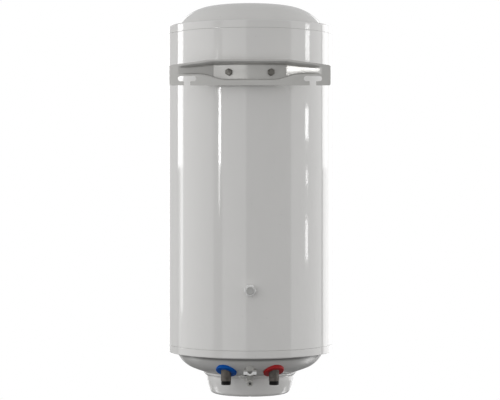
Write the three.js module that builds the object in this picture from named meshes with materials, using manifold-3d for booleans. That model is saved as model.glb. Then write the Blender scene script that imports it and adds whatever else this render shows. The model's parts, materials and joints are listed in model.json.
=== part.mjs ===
// Slim wall-hung electric storage water heater, 50 litres, built as separate pieces.
// Millimetres, +Z up. The wall is the plane y = 0 and the heater stands in front of it, towards +Y.
// z = 0 is the middle of the wall bracket's lower band, x = 0 the heater's centre plane.
import * as THREE from "three";
import { mergeVertices } from "three/addons/utils/BufferGeometryUtils.js";
import Module from "manifold-3d";

const wasm = await Module();
wasm.setup();

// ---------------------------------------------------------------- driving sizes
const GAP = 0.3; // clearance between pieces that rest on one another
const CASING_RADIUS = 176.5;
const CASING_WALL = 1;
const CASING_TOP = 114;
const CASING_BOTTOM = -550.4;
const WALL_GAP = 20; // casing to wall
const AXIS_Y = WALL_GAP + CASING_RADIUS;
const CAP_WALL = 1.5;
const SPIGOT_LENGTH = 12;
const SIDES = 40; // facets of the outer skins
const INNER_SIDES = 28; // facets of the hidden round pieces

// top cap, measured up from the casing's top edge
const TOP_BAND = 15;
const TOP_FILLET = 2.5;
const DOME_RISE = 65.8;
const DOME_CROWN = 693.6;
const DOME_KNUCKLE = 96.2;
const DOME_FOOT_RADIUS = CASING_RADIUS - 19.4;
const DOME_FOOT_RISE = TOP_BAND + TOP_FILLET + 1.8;

// bottom cap, measured down from the casing's bottom edge
const BOTTOM_BAND = 15.6;
const BOWL_CROWN = 330;
const BOWL_KNUCKLE = 57;
const BOWL_KNUCKLE_R = CASING_RADIUS - 72.5;
const BOWL_KNUCKLE_RISE = 3.5;
const KNUCKLE_Z = CASING_BOTTOM + BOWL_KNUCKLE_RISE;
const BOWL_CENTRE = KNUCKLE_Z + Math.sqrt((BOWL_CROWN - BOWL_KNUCKLE) ** 2 - BOWL_KNUCKLE_R ** 2);
const BOWL_LOW = BOWL_CENTRE - BOWL_CROWN;

// service cover under the bowl
const FLANGE_RADIUS = 62; // heating flange behind the cover
const SERVICE_RADIUS = FLANGE_RADIUS + 8; // opening in the bottom cap
const COLUMN_ORBIT = SERVICE_RADIUS + 7.5;
const COVER_BOTTOM = BOWL_LOW - 32;
const COVER_LIP_RADIUS = COLUMN_ORBIT + 23;
const COVER_WALL = 2.5;
const COVER_CORNER = 11;
const WELL_RADIUS = 21.5;
const WELL_DEPTH = 10;
const COLUMN_RADIUS = 5.5;
const COLUMN_TOP = BOWL_LOW + 7.5;
const COLUMN_WEB = 4;

// pressure tank
const INSULATION = 24; // foam thickness round the tank
const TANK_RADIUS = CASING_RADIUS - INSULATION;
const TANK_WALL = 2;
const TANK_TOP = CASING_TOP - 6;
const TANK_BOTTOM = CASING_BOTTOM + 5.4;
const TANK_TOP_RISE = 48;
const TANK_BOTTOM_DROP = 45;
const NECK_BORE = FLANGE_RADIUS - 16;
const NECK_WALL = 3;
const NECK_END = BOWL_LOW + 12.5;
const NECK_RING = 6;
const GASKET = 3;
const PLATE = 6;
const STUD_ORBIT = FLANGE_RADIUS - 7.5;
const STUD_COUNT = 5;
const STUD_RADIUS = 3.8;

// wall bracket, steel sheet
const SHEET = 2.5;
const BEND = 4; // centre-line radius of the dish bends
const EAR_END = 164.4;
const EAR_START = 145;
const FOLD_X = 75;
const BAND_BOTTOM = -6.3;
const SLOT_X = 128.4;
const SLOT_LENGTH = 37.5;
const SLOT_LOW = 2;
const SLOT_HIGH = 12.8;
const SLOT_ENTRY = 13.2;
const BOLT_Z = 22.2;
const BOLT_X = 43.5;
const M8_FLATS = 13;
const M8_HEAD = 5.3;
const M8_SHANK = 3.7;
const BOSS_RADIUS = 12;

// lower wall spacer
const SPACER_Z = CASING_BOTTOM + 124.7;
const SPACER_FLATS = 22;
const SPACER_PAD = 8; // radius

// water connections, G 1/2 nipples at 100 mm pitch
const PIPE_X = 50;
const PIPE_Y = WALL_GAP + 52.5;
const PIPE_RADIUS = 10.65;
const PIPE_BORE = 8;
const PIPE_END = CASING_BOTTOM - 75.2;
const PIPE_TOP = CASING_BOTTOM - 1.6;
const THREAD_LENGTH = 8;
const THREAD_RADIUS = 10.3;
const RING_RADIUS = 22;
const RING_THICK = 5;

// electrical parts under the tank, placed from the heater's axis
const THERMOSTAT_Y = 22;
const ELEMENT_X = 12;
const ELEMENT_Y = -8;
const ELEMENT_RADIUS = 4.2;
const ELEMENT_REACH = 291.6; // above the flange plate
const ANODE_Y = -27;
const CUTOUT = [-33, -12];
const TERMINALS = [33, -12];
const EARTH = [-33, 14];

const BOLT_ANGLE = Math.asin(BOLT_X / (CASING_RADIUS + SHEET + M8_HEAD / 2));
const TOP_APEX = CASING_TOP + DOME_RISE;
const RIM_TOP = CASING_TOP + TOP_BAND + TOP_FILLET;
const RIM_BOTTOM = CASING_BOTTOM - BOTTOM_BAND;
const PLATE_TOP = NECK_END - GASKET - 2 * GAP;
const PLATE_BOTTOM = PLATE_TOP - PLATE;
const ELEMENT_TOP = PLATE_BOTTOM + ELEMENT_REACH;
const CLAMP_TOP = CASING_BOTTOM - 45.4; // foot of the cable entry
const below = (depth) => PLATE_BOTTOM - depth; // heights under the flange plate
const THROUGH = 18; // how far a hole's cutter runs past a plate

// ---------------------------------------------------------------- shape helpers
// A three.js geometry as a solid, turned the right way out.
function solid(geometry) {
  const bare = geometry.clone();
  bare.deleteAttribute("normal");
  bare.deleteAttribute("uv");
  const merged = mergeVertices(bare, 1e-4);
  const index = merged.index.array;
  const faces = [];
  for (let i = 0; i < index.length; i += 3) {
    const [a, b, c] = [index[i], index[i + 1], index[i + 2]];
    if (a !== b && b !== c && c !== a) faces.push(a, b, c);
  }
  const build = (list) =>
    new wasm.Manifold(
      new wasm.Mesh({
        numProp: 3,
        vertProperties: merged.attributes.position.array,
        triVerts: new Uint32Array(list),
      }),
    );
  const made = build(faces);
  if (made.volume() > 0) return made;
  const turned = [];
  for (let i = 0; i < faces.length; i += 3) turned.push(faces[i], faces[i + 2], faces[i + 1]);
  return build(turned);
}

const join = (...parts) => parts.reduce((a, b) => a.add(b));
const cut = (body, ...tools) => tools.reduce((a, b) => a.subtract(b), body);

// A closed (radius, height) outline turned about the vertical line through (x, y).
function turned(outline, sides = SIDES, x = 0, y = AXIS_Y) {
  const points = outline.map(([r, z]) => new THREE.Vector2(Math.max(r, 0), z));
  const onAxis = outline[0][0] === 0 && outline[outline.length - 1][0] === 0;
  if (!onAxis) points.push(points[0].clone());
  return solid(new THREE.LatheGeometry(points, sides).rotateX(Math.PI / 2).translate(x, y, 0));
}

// An upright round bar between two heights.
const bar = (x, y, low, high, radius, sides = 24) =>
  turned([[0, low], [radius, low], [radius, high], [0, high]], sides, x, y);

// An upright pipe with a plain bore.
const pipe = (x, y, low, high, outer, inner, sides = 32) =>
  turned([[inner, low], [outer, low], [outer, high], [inner, high]], sides, x, y);

// A closed plane outline pushed up from z = low to z = high.
function prism(outline, low, high) {
  const shape = new THREE.Shape(outline.map(([x, y]) => new THREE.Vector2(x, y)));
  const options = { depth: high - low, bevelEnabled: false };
  return solid(new THREE.ExtrudeGeometry(shape, options).translate(0, 0, low));
}

const box = (x0, x1, y0, y1, z0, z1) =>
  solid(
    new THREE.BoxGeometry(x1 - x0, y1 - y0, z1 - z0).translate(
      (x0 + x1) / 2,
      (y0 + y1) / 2,
      (z0 + z1) / 2,
    ),
  );

// Corners of a regular hexagon, given its width across the flats.
const hexagon = (flats, turn = 0) =>
  Array.from({ length: 6 }, (_, i) => {
    const a = turn + (i * Math.PI) / 3;
    return [(flats / Math.sqrt(3)) * Math.cos(a), (flats / Math.sqrt(3)) * Math.sin(a)];
  });

// Points along an arc in the (radius, height) plane, angles in degrees.
const arc = (r, z, radius, from, to, steps) =>
  Array.from({ length: steps + 1 }, (_, i) => {
    const a = ((from + ((to - from) * i) / steps) * Math.PI) / 180;
    return [r + radius * Math.cos(a), z + radius * Math.sin(a)];
  });

// A round wire or tube following a smooth curve through points.
function wire(points, radius, steps, sides = 8) {
  const circle = new THREE.Shape();
  for (let i = 0; i < sides; i++) {
    const a = (i / sides) * 2 * Math.PI;
    const [x, y] = [radius * Math.cos(a), radius * Math.sin(a)];
    if (i === 0) circle.moveTo(x, y);
    else circle.lineTo(x, y);
  }
  circle.closePath();
  const path = new THREE.CatmullRomCurve3(points.map((p) => new THREE.Vector3(...p)));
  return solid(new THREE.ExtrudeGeometry(circle, { steps, extrudePath: path, bevelEnabled: false }));
}

// Lays a solid built along +Z from the origin onto the casing's radius at an angle from the wall
// side and a height: its z = d then lies d outside the heater's axis.
function radial(body, angle, height) {
  const degrees = (angle * 180) / Math.PI;
  return body.rotate([90, 0, 0]).rotate([0, 0, degrees]).translate([0, AXIS_Y, height]);
}

const parts = new THREE.Group();
parts.name = "tank_water_heater";

// Adds one piece to the assembly.
function piece(name, body, material) {
  const mesh = body.getMesh();
  const geometry = new THREE.BufferGeometry();
  geometry.setAttribute("position", new THREE.BufferAttribute(Float32Array.from(mesh.vertProperties), 3));
  geometry.setIndex(new THREE.BufferAttribute(Uint32Array.from(mesh.triVerts), 1));
  const flat = geometry.toNonIndexed();
  flat.computeVertexNormals();
  const node = new THREE.Mesh(flat, new THREE.MeshStandardMaterial(material));
  node.name = name;
  parts.add(node);
}

const ENAMEL = { color: 0xe4e2de, roughness: 0.22, metalness: 0 };
const COVER_PLASTIC = { color: 0xdad9d6, roughness: 0.35, metalness: 0 };
const SHEET_STEEL = { color: 0xa9a8a4, roughness: 0.45, metalness: 0.6 };
const ZINC = { color: 0xa8a7a3, roughness: 0.35, metalness: 0.9 };
const DARK_STEEL = { color: 0x6a6965, roughness: 0.5, metalness: 0.8 };
const STAINLESS = { color: 0xb9b9b6, roughness: 0.3, metalness: 0.9 };
const FOAM = { color: 0xe8d9a6, roughness: 0.95, metalness: 0 };
const RUBBER = { color: 0x2a2a2a, roughness: 0.8, metalness: 0 };
const GREY_RUBBER = { color: 0x8f908e, roughness: 0.7, metalness: 0 };
const LIGHT_PLASTIC = { color: 0xcfcfca, roughness: 0.5, metalness: 0 };
const WHITE_PLASTIC = { color: 0xededea, roughness: 0.4, metalness: 0 };
const BLACK_PLASTIC = { color: 0x1e1e1f, roughness: 0.5, metalness: 0 };
const BLUE = { color: 0x0d4f9b, roughness: 0.45, metalness: 0 };
const RED = { color: 0x8f2d2b, roughness: 0.45, metalness: 0 };
const AMBER = { color: 0xd9501e, roughness: 0.2, metalness: 0 };
const COPPER = { color: 0xb87a50, roughness: 0.35, metalness: 0.9 };
const BRASS = { color: 0xb6974f, roughness: 0.35, metalness: 0.9 };
const MAGNESIUM = { color: 0xb2b2ae, roughness: 0.6, metalness: 0.7 };

// ---------------------------------------------------------------- cap surfaces
const degrees = (radians) => (radians * 180) / Math.PI;

// Where the top dome's knuckle arc is centred: it touches the crown from inside and passes
// through the dome's foot.
const CROWN_Z = TOP_APEX - DOME_CROWN;
const DOME_CENTRE = (() => {
  const [fr, fz] = [DOME_FOOT_RADIUS, CASING_TOP + DOME_FOOT_RISE - CROWN_Z];
  const reach = DOME_CROWN - DOME_KNUCKLE;
  const span = Math.hypot(fr, fz);
  const along = (reach ** 2 - DOME_KNUCKLE ** 2 + span ** 2) / (2 * span);
  const aside = Math.sqrt(reach ** 2 - along ** 2);
  return [(fr * along - fz * aside) / span, (fz * along + fr * aside) / span + CROWN_Z];
})();
const DOME_TANGENT = degrees(Math.atan2(DOME_CENTRE[1] - CROWN_Z, DOME_CENTRE[0]));

// The top dome from height z up to its middle, moved inwards by inset.
function dome(inset, z, knuckleSteps = 4, crownSteps = 3) {
  const radius = DOME_KNUCKLE - inset;
  const start = degrees(Math.asin((z - DOME_CENTRE[1]) / radius));
  const crown = arc(0, CROWN_Z, DOME_CROWN - inset, DOME_TANGENT, 90, crownSteps).slice(1);
  crown[crown.length - 1][0] = 0;
  return [...arc(...DOME_CENTRE, radius, start, DOME_TANGENT, knuckleSteps), ...crown];
}

// The bowl from radius r out and up to height z, moved inwards by inset.
function bowl(inset, r, z, crownSteps = 2, knuckleSteps = 4) {
  const tangent = degrees(Math.atan2(KNUCKLE_Z - BOWL_CENTRE, BOWL_KNUCKLE_R));
  const start = -degrees(Math.acos(r / (BOWL_CROWN - inset)));
  const end = degrees(Math.asin((z - KNUCKLE_Z) / (BOWL_KNUCKLE - inset)));
  const crown = arc(0, BOWL_CENTRE, BOWL_CROWN - inset, start, tangent, crownSteps);
  const radius = BOWL_KNUCKLE - inset;
  const knuckle = arc(BOWL_KNUCKLE_R, KNUCKLE_Z, radius, tangent, end, knuckleSteps);
  return [...crown, ...knuckle.slice(1)];
}

// The space the bowl fills, grown by the seating gap: what touches the bowl is cut with it.
const bowlSpace = turned([
  [0, BOWL_CENTRE - BOWL_CROWN - GAP],
  ...bowl(-GAP, 1, KNUCKLE_Z - 1, 5, 7),
  [0, KNUCKLE_Z - 1],
]);

// ---------------------------------------------------------------- casing and caps
const spigot = CASING_RADIUS - CASING_WALL - GAP;
const boltHole = bar(0, 0, TANK_RADIUS, CASING_RADIUS + 2 * M8_HEAD, M8_SHANK + 0.7, 12);
const boltHoles = [-1, 1].map((side) => radial(boltHole, side * BOLT_ANGLE, BOLT_Z));
const spacerHole = radial(boltHole, 0, SPACER_Z);

piece(
  "casing_shell",
  cut(
    turned([
      [CASING_RADIUS - CASING_WALL, CASING_BOTTOM],
      [CASING_RADIUS, CASING_BOTTOM],
      [CASING_RADIUS, CASING_TOP],
      [CASING_RADIUS - CASING_WALL, CASING_TOP],
    ]),
    ...boltHoles,
    spacerHole,
  ),
  ENAMEL,
);

piece(
  "top_cap",
  turned([
    ...dome(CAP_WALL, RIM_TOP - CAP_WALL, 3, 2).reverse(),
    [spigot - CAP_WALL, RIM_TOP - CAP_WALL],
    [spigot - CAP_WALL, CASING_TOP - SPIGOT_LENGTH],
    [spigot, CASING_TOP - SPIGOT_LENGTH],
    [spigot, CASING_TOP + GAP],
    [CASING_RADIUS, CASING_TOP + GAP],
    ...arc(CASING_RADIUS - TOP_FILLET, RIM_TOP - TOP_FILLET, TOP_FILLET, 0, 90, 2),
    ...dome(0, RIM_TOP),
  ]),
  ENAMEL,
);

const PIPE_HOLE = PIPE_RADIUS + 0.35;
const pipeHoles = [-1, 1].map((side) =>
  bar(side * PIPE_X, PIPE_Y, PIPE_END - 10, PIPE_TOP + 8, PIPE_HOLE, 20),
);
const columnPlaces = [30, 150, 270].map((turn) => {
  const a = (turn * Math.PI) / 180;
  return [COLUMN_ORBIT * Math.cos(a), AXIS_Y + COLUMN_ORBIT * Math.sin(a)];
});
const COVER_SCREW = 1.9; // radius
const columnBores = columnPlaces.map(([x, y]) =>
  bar(x, y, COLUMN_TOP - 10, COLUMN_TOP + 10, COVER_SCREW + 0.4, 8),
);
const SLEEVE_Y = WALL_GAP + 60;
const SLEEVE_NECK = 5;
const CABLE_HOLE_Z = CLAMP_TOP - 0.2;
const SLEEVE_TURN_Z = CLAMP_TOP - 27.4;
const SLEEVE_TOP = CLAMP_TOP - 0.2;
const sleeveHole = bar(0, SLEEVE_Y, SLEEVE_TURN_Z, SLEEVE_TOP + 6, SLEEVE_NECK + GAP, 12);

piece(
  "bottom_cap",
  cut(
    turned([
      ...bowl(0, SERVICE_RADIUS, RIM_BOTTOM),
      [CASING_RADIUS - 0.6, RIM_BOTTOM],
      [CASING_RADIUS, RIM_BOTTOM + 0.6],
      [CASING_RADIUS, CASING_BOTTOM - GAP],
      [spigot, CASING_BOTTOM - GAP],
      [spigot, CASING_BOTTOM + SPIGOT_LENGTH],
      [spigot - CAP_WALL, CASING_BOTTOM + SPIGOT_LENGTH],
      [spigot - CAP_WALL, RIM_BOTTOM + CAP_WALL],
      ...bowl(CAP_WALL, SERVICE_RADIUS, RIM_BOTTOM + CAP_WALL, 2, 3).reverse(),
    ]),
    ...pipeHoles,
    ...columnBores,
    sleeveHole,
  ),
  ENAMEL,
);

// ---------------------------------------------------------------- service cover
const COVER_WALL_LINE = [
  [COVER_LIP_RADIUS - 10.4, COVER_BOTTOM + 17.8],
  [COVER_LIP_RADIUS - 7.6, COVER_BOTTOM + 26.5],
  [COVER_LIP_RADIUS - 6.1, COVER_BOTTOM + 35.1],
  [COVER_LIP_RADIUS - 5.3, COVER_BOTTOM + 39.9],
];
const COVER_CORNER_R = COVER_LIP_RADIUS - 23.9;
const cornerZ = COVER_BOTTOM + COVER_CORNER;
const bowlHeight = (r, inset) => BOWL_CENTRE - Math.sqrt((BOWL_CROWN - inset) ** 2 - r ** 2);
const LIP_INNER = COVER_LIP_RADIUS - 8.5;
const wellY = AXIS_Y + THERMOSTAT_Y;
const SPINDLE_RADIUS = 3;
const LAMP_Z = COVER_BOTTOM + 20.5;
const LAMP_RADIUS = 4.5;
const LAMP_BACK = COVER_LIP_RADIUS - 17.5;
const LAMP_FACE = COVER_LIP_RADIUS - 8;

let cover = turned([
  [0, COVER_BOTTOM],
  ...arc(COVER_CORNER_R, cornerZ, COVER_CORNER, -90, -18, 3),
  ...COVER_WALL_LINE,
  [COVER_LIP_RADIUS - 2.9, COVER_BOTTOM + 42.9],
  [COVER_LIP_RADIUS, COVER_BOTTOM + 43.9],
  [COVER_LIP_RADIUS, bowlHeight(COVER_LIP_RADIUS, -GAP)],
  [LIP_INNER, bowlHeight(LIP_INNER, -GAP)],
  ...COVER_WALL_LINE.slice(0, 3)
    .reverse()
    .map(([r, z]) => [r - COVER_WALL, z]),
  ...arc(COVER_CORNER_R, cornerZ, COVER_CORNER - COVER_WALL, -18, -90, 2),
  [0, COVER_BOTTOM + COVER_WALL],
]);
const wellFloor = COVER_BOTTOM + WELL_DEPTH;
cover = join(
  cover,
  bar(0, wellY, COVER_BOTTOM + 1, wellFloor + COVER_WALL, WELL_RADIUS + COVER_WALL, 28),
  ...columnPlaces.map(([x, y]) => bar(x, y, COVER_BOTTOM + 2, COLUMN_TOP, COLUMN_RADIUS, 12)),
);
const COUNTERBORE = 4;
cover = cut(
  cover,
  bar(0, wellY, COVER_BOTTOM - 5, wellFloor, WELL_RADIUS, 28),
  bar(0, wellY, wellFloor - 1, wellFloor + 5, SPINDLE_RADIUS + 1, 12),
  ...columnPlaces.map(([x, y]) =>
    bar(x, y, COVER_BOTTOM - 5, COLUMN_TOP - COLUMN_WEB, COUNTERBORE, 10),
  ),
  ...columnBores,
  radial(bar(0, 0, LAMP_BACK - 3, LAMP_FACE + 8, LAMP_RADIUS + GAP, 14), Math.PI, LAMP_Z),
);
piece("service_cover", cover, COVER_PLASTIC);

const SCREW_HEAD = 3.6;
const SCREW_HEAD_HIGH = 2.6;
const SCREW_REACH = 10.5;
columnPlaces.forEach(([x, y], i) => {
  const under = COLUMN_TOP - COLUMN_WEB - GAP;
  const outline = [
    [0, under - SCREW_HEAD_HIGH],
    [SCREW_HEAD - 0.8, under - SCREW_HEAD_HIGH],
    [SCREW_HEAD, under - SCREW_HEAD_HIGH + 0.9],
    [SCREW_HEAD, under],
    [COVER_SCREW, under],
    [COVER_SCREW, under + SCREW_REACH],
    [0, under + SCREW_REACH + COVER_SCREW],
  ];
  piece("cover_screw_" + (i + 1), turned(outline, 10, x, y), ZINC);
});

piece(
  "indicator_lamp",
  radial(
    turned(
      [[0, LAMP_BACK], [LAMP_RADIUS, LAMP_BACK], [LAMP_RADIUS, LAMP_FACE - 1.3], [3.4, LAMP_FACE - 0.3], [0, LAMP_FACE]],
      14,
      0,
      0,
    ),
    Math.PI,
    LAMP_Z,
  ),
  AMBER,
);

// ---------------------------------------------------------------- tank and insulation
// A quarter ellipse from the rim to the middle (or to radius stop), centred at height z.
function ellipse(radius, rise, z, stop, steps) {
  const last = Math.acos(stop / radius);
  return Array.from({ length: steps + 1 }, (_, i) => {
    const a = (last * i) / steps;
    const r = i === steps ? stop : radius * Math.cos(a);
    return [r, z + rise * Math.sin(a)];
  });
}

const studPlaces = Array.from({ length: STUD_COUNT }, (_, i) => {
  const a = Math.PI / 2 + (i * 2 * Math.PI) / STUD_COUNT;
  return [STUD_ORBIT * Math.cos(a), AXIS_Y + STUD_ORBIT * Math.sin(a)];
});
const STUD_LENGTH = 20;
const tankInner = TANK_RADIUS - TANK_WALL;
const neckOuter = NECK_BORE + NECK_WALL;
piece(
  "inner_tank",
  cut(
    join(
      turned(
        [
          ...ellipse(tankInner, TANK_TOP_RISE - TANK_WALL, TANK_TOP, 0, 5).reverse(),
          ...ellipse(tankInner, TANK_WALL - TANK_BOTTOM_DROP, TANK_BOTTOM, NECK_BORE, 4),
          [NECK_BORE, NECK_END],
          [FLANGE_RADIUS, NECK_END],
          [FLANGE_RADIUS, NECK_END + NECK_RING],
          [neckOuter, NECK_END + NECK_RING],
          ...ellipse(TANK_RADIUS, -TANK_BOTTOM_DROP, TANK_BOTTOM, neckOuter, 4).reverse(),
          ...ellipse(TANK_RADIUS, TANK_TOP_RISE, TANK_TOP, 0, 5),
        ],
        INNER_SIDES,
      ),
      ...studPlaces.map(([x, y]) => bar(x, y, NECK_END - STUD_LENGTH, NECK_END + 3, STUD_RADIUS, 10)),
    ),
    ...pipeHoles,
  ),
  STAINLESS,
);

const FOAM_NECK = FLANGE_RADIUS + 4;
// The foam's hollow under the tank, stopped on its last chord at the neck opening.
const foamUnder = ellipse(TANK_RADIUS + GAP, -TANK_BOTTOM_DROP - 2 * GAP, TANK_BOTTOM, neckOuter, 4);
const [lastOut, lastIn] = foamUnder.slice(-2);
foamUnder[foamUnder.length - 1] = [
  FOAM_NECK,
  lastIn[1] + ((lastOut[1] - lastIn[1]) * (FOAM_NECK - lastIn[0])) / (lastOut[0] - lastIn[0]),
];
// The foam stays two gaps inside a skin's corners and also clears the flats between them.
const FLAT = Math.cos(Math.PI / SIDES);
const inside = (radius) => Math.min(radius - 2 * GAP, radius * FLAT - GAP / 6);
const foamEnd = inside(spigot - CAP_WALL);
const foamSide = inside(CASING_RADIUS - CASING_WALL);
const foamInset = CAP_WALL + 2 * GAP;
const tankSpace = TANK_RADIUS + GAP;
const bossBody = pipe(0, 0, tankSpace, CASING_RADIUS - CASING_WALL - 1, BOSS_RADIUS, M8_SHANK + GAP, 16);
const bossSpace = bar(0, 0, TANK_RADIUS - 5, CASING_RADIUS, BOSS_RADIUS + GAP, 16);
piece(
  "insulation_foam",
  cut(
    turned(
      [
        ...ellipse(tankSpace, TANK_TOP_RISE + 2 * GAP, TANK_TOP, 0, 5).reverse(),
        ...foamUnder,
        ...bowl(foamInset, FOAM_NECK, RIM_BOTTOM + foamInset, 2, 3),
        [foamEnd, RIM_BOTTOM + foamInset],
        [foamEnd, CASING_BOTTOM + SPIGOT_LENGTH + 2],
        [foamSide, CASING_BOTTOM + SPIGOT_LENGTH + 2],
        [foamSide, CASING_TOP - SPIGOT_LENGTH - 2],
        [foamEnd, CASING_TOP - SPIGOT_LENGTH - 2],
        [foamEnd, RIM_TOP - foamInset],
        ...dome(foamInset, RIM_TOP - foamInset, 3, 2),
      ],
      INNER_SIDES,
    ),
    ...[-1, 1].map((side) => radial(bossSpace, side * BOLT_ANGLE, BOLT_Z)),
    radial(bossSpace, 0, SPACER_Z),
    ...pipeHoles,
    ...columnPlaces.map(([x, y]) => bar(x, y, COLUMN_TOP - 8, COLUMN_TOP + THROUGH, COUNTERBORE, 8)),
    bar(0, SLEEVE_Y, SLEEVE_TURN_Z, SLEEVE_TOP + 6, SLEEVE_NECK + 2 * GAP, 12),
  ),
  FOAM,
);
piece("mounting_boss_left", radial(bossBody, -BOLT_ANGLE, BOLT_Z), STAINLESS);
piece("mounting_boss_right", radial(bossBody, BOLT_ANGLE, BOLT_Z), STAINLESS);
piece("spacer_boss", radial(bossBody, 0, SPACER_Z), STAINLESS);

// ---------------------------------------------------------------- wall bracket
// Straight-line interpolation in a list of [x, value] pairs.
function between(table, x) {
  const i = Math.max(1, table.findIndex(([at]) => at >= x));
  const [[x0, v0], [x1, v1]] = [table[i - 1], table[i]];
  return v0 + ((v1 - v0) * (x - x0)) / (x1 - x0);
}

const DISH_UPPER = [[0, 38.9], [75, 38.9], [98, 35.2], [122, 32.4], [147, 29.5], [170, 27]];
const DISH_LOWER = [[0, 6.5], [51, 6.5], [60, 7.7], [72, 11.4], [82, 14.6], [92, 16.7], [102, 18.2], [170, 18.2]];

// How deep the dish is at x, and how much its sheet leans there (1 = square to the wall).
function dishDepth(x) {
  const reach = CASING_RADIUS + GAP;
  const curved = (at) => {
    const lean = reach / Math.sqrt(reach ** 2 - at ** 2);
    return [AXIS_Y - reach / lean - (SHEET / 2) * lean - SHEET / 2, lean];
  };
  if (x <= FOLD_X) return curved(x);
  const [depth] = curved(FOLD_X);
  const left = Math.max(0, (EAR_START - x) / (EAR_START - FOLD_X));
  return [depth * left, Math.hypot(1, depth / (EAR_START - FOLD_X))];
}

// One upright cut through the bracket at x: the front face points, then the back face points.
function bracketSection(x) {
  const at = Math.abs(x);
  const [depth, lean] = dishDepth(at);
  const squash = Math.min(1, depth / (2 * BEND));
  const upper = between(DISH_UPPER, at) + SHEET / 2;
  const lower = between(DISH_LOWER, at) - SHEET / 2;
  const middle = SHEET / 2;
  const leaving = [0, 41, 82].map((a) => (a * Math.PI) / 180);
  const arriving = [8, 49, 90].map((a) => (a * Math.PI) / 180);
  const line = [
    [middle, 60, -1, 0],
    ...leaving.map((a) => [
      middle + squash * BEND * (1 - Math.cos(a)),
      upper + BEND * (1 - Math.sin(a)),
      -Math.cos(a),
      -squash * Math.sin(a),
    ]),
    ...arriving.map((a) => [
      middle + depth - squash * BEND * (1 - Math.sin(a)),
      upper - BEND * (1 - Math.cos(a)),
      -Math.sin(a),
      -squash * Math.cos(a),
    ]),
    ...leaving.map((a) => [
      middle + depth - squash * BEND * (1 - Math.cos(a)),
      lower + BEND * (1 - Math.sin(a)),
      -Math.cos(a),
      squash * Math.sin(a),
    ]),
    ...arriving.map((a) => [
      middle + squash * BEND * (1 - Math.sin(a)),
      lower - BEND * (1 - Math.cos(a)),
      -Math.sin(a),
      squash * Math.cos(a),
    ]),
    [middle, -20, -1, 0],
  ];
  const side = (sign) =>
    line.map(([y, z, ny, nz]) => {
      const size = Math.hypot(ny, nz);
      const share = depth > 0 ? (y - middle) / depth : 0;
      const stretch = 1 + (lean - 1) * share;
      const reach = (sign * SHEET) / 2 / size;
      return [x, y + reach * ny * stretch, z + reach * nz];
    });
  return [side(1), side(-1)];
}

// The dished sheet, before its outline is cut.
function bracketSheet() {
  const right = [12.5, 25, 37.5, 50, 62.5, FOLD_X, 86, 97, 109, 121, 133, EAR_START, 156, EAR_END + 3];
  const stations = [...right.map((x) => -x).reverse(), 0, ...right];
  const points = [];
  const faces = [];
  const rings = stations.map((x) => {
    const [front, back] = bracketSection(x);
    return [...front, ...back.reverse()];
  });
  const count = rings[0].length;
  rings.forEach((ring) => ring.forEach((p) => points.push(...p)));
  const quad = (a, b, c, d) => faces.push(a, b, c, a, c, d);
  for (let i = 0; i + 1 < rings.length; i++) {
    for (let j = 0; j < count; j++) {
      const next = (j + 1) % count;
      quad(i * count + j, i * count + next, (i + 1) * count + next, (i + 1) * count + j);
    }
  }
  const last = (rings.length - 1) * count;
  for (let j = 0; j + 1 < count / 2; j++) {
    quad(j, count - 1 - j, count - 2 - j, j + 1);
    quad(last + j, last + j + 1, last + count - 2 - j, last + count - 1 - j);
  }
  const geometry = new THREE.BufferGeometry();
  geometry.setAttribute("position", new THREE.BufferAttribute(new Float32Array(points), 3));
  geometry.setIndex(faces);
  return solid(geometry.toNonIndexed());
}

// A plane outline in x and z pushed from y = near to y = far.
const wallPrism = (outline, near, far) => prism(outline, -far, -near).rotate([90, 0, 0]);

const EAR_CORNER = 5;
const FOOT_CORNER = 3;
const earSide = [
  ...arc(EAR_END - FOOT_CORNER, BAND_BOTTOM + FOOT_CORNER, FOOT_CORNER, -90, 0, 3),
  ...arc(EAR_END - EAR_CORNER, 30.2, EAR_CORNER, 0, 82, 4),
  [86, 45.6],
  [78, 46.35],
  [70, 46.6],
];
const bracketOutline = [...earSide, ...earSide.map(([x, z]) => [-x, z]).reverse()];

const slotRound = (SLOT_HIGH - SLOT_LOW) / 2;
const slotMiddle = (SLOT_HIGH + SLOT_LOW) / 2;
const keySlot = (side) => {
  const end = SLOT_LENGTH / 2 - slotRound;
  const outline = [
    ...arc(end, slotMiddle, slotRound, -90, 90, 6),
    ...arc(-end, slotMiddle, slotRound, 90, 270, 6),
  ];
  const entry = SLOT_ENTRY / 2;
  return join(
    wallPrism(outline, -5, 10),
    box(-entry, entry, -5, 10, BAND_BOTTOM - 5, slotMiddle),
  ).translate([side * SLOT_X, 0, 0]);
};
piece(
  "wall_bracket",
  cut(
    bracketSheet().intersect(wallPrism(bracketOutline, -1, 60)),
    keySlot(-1),
    keySlot(1),
    ...boltHoles,
  ),
  SHEET_STEEL,
);

// Hex-head screw along +Z: shank from z = tip to z = seat, head beyond it.
const hexScrew = (tip, seat, shank) =>
  join(
    bar(0, 0, tip, seat + 1, shank, 16),
    prism(hexagon(M8_FLATS, Math.PI / 6), seat, seat + M8_HEAD),
  );
const BOLT_SEAT = CASING_RADIUS + SHEET + 3 * GAP;
const BOLT_TIP = CASING_RADIUS - 19.5;
piece("bracket_bolt_left", radial(hexScrew(BOLT_TIP, BOLT_SEAT, M8_SHANK), -BOLT_ANGLE, BOLT_Z), DARK_STEEL);
piece("bracket_bolt_right", radial(hexScrew(BOLT_TIP, BOLT_SEAT, M8_SHANK), BOLT_ANGLE, BOLT_Z), DARK_STEEL);

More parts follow.
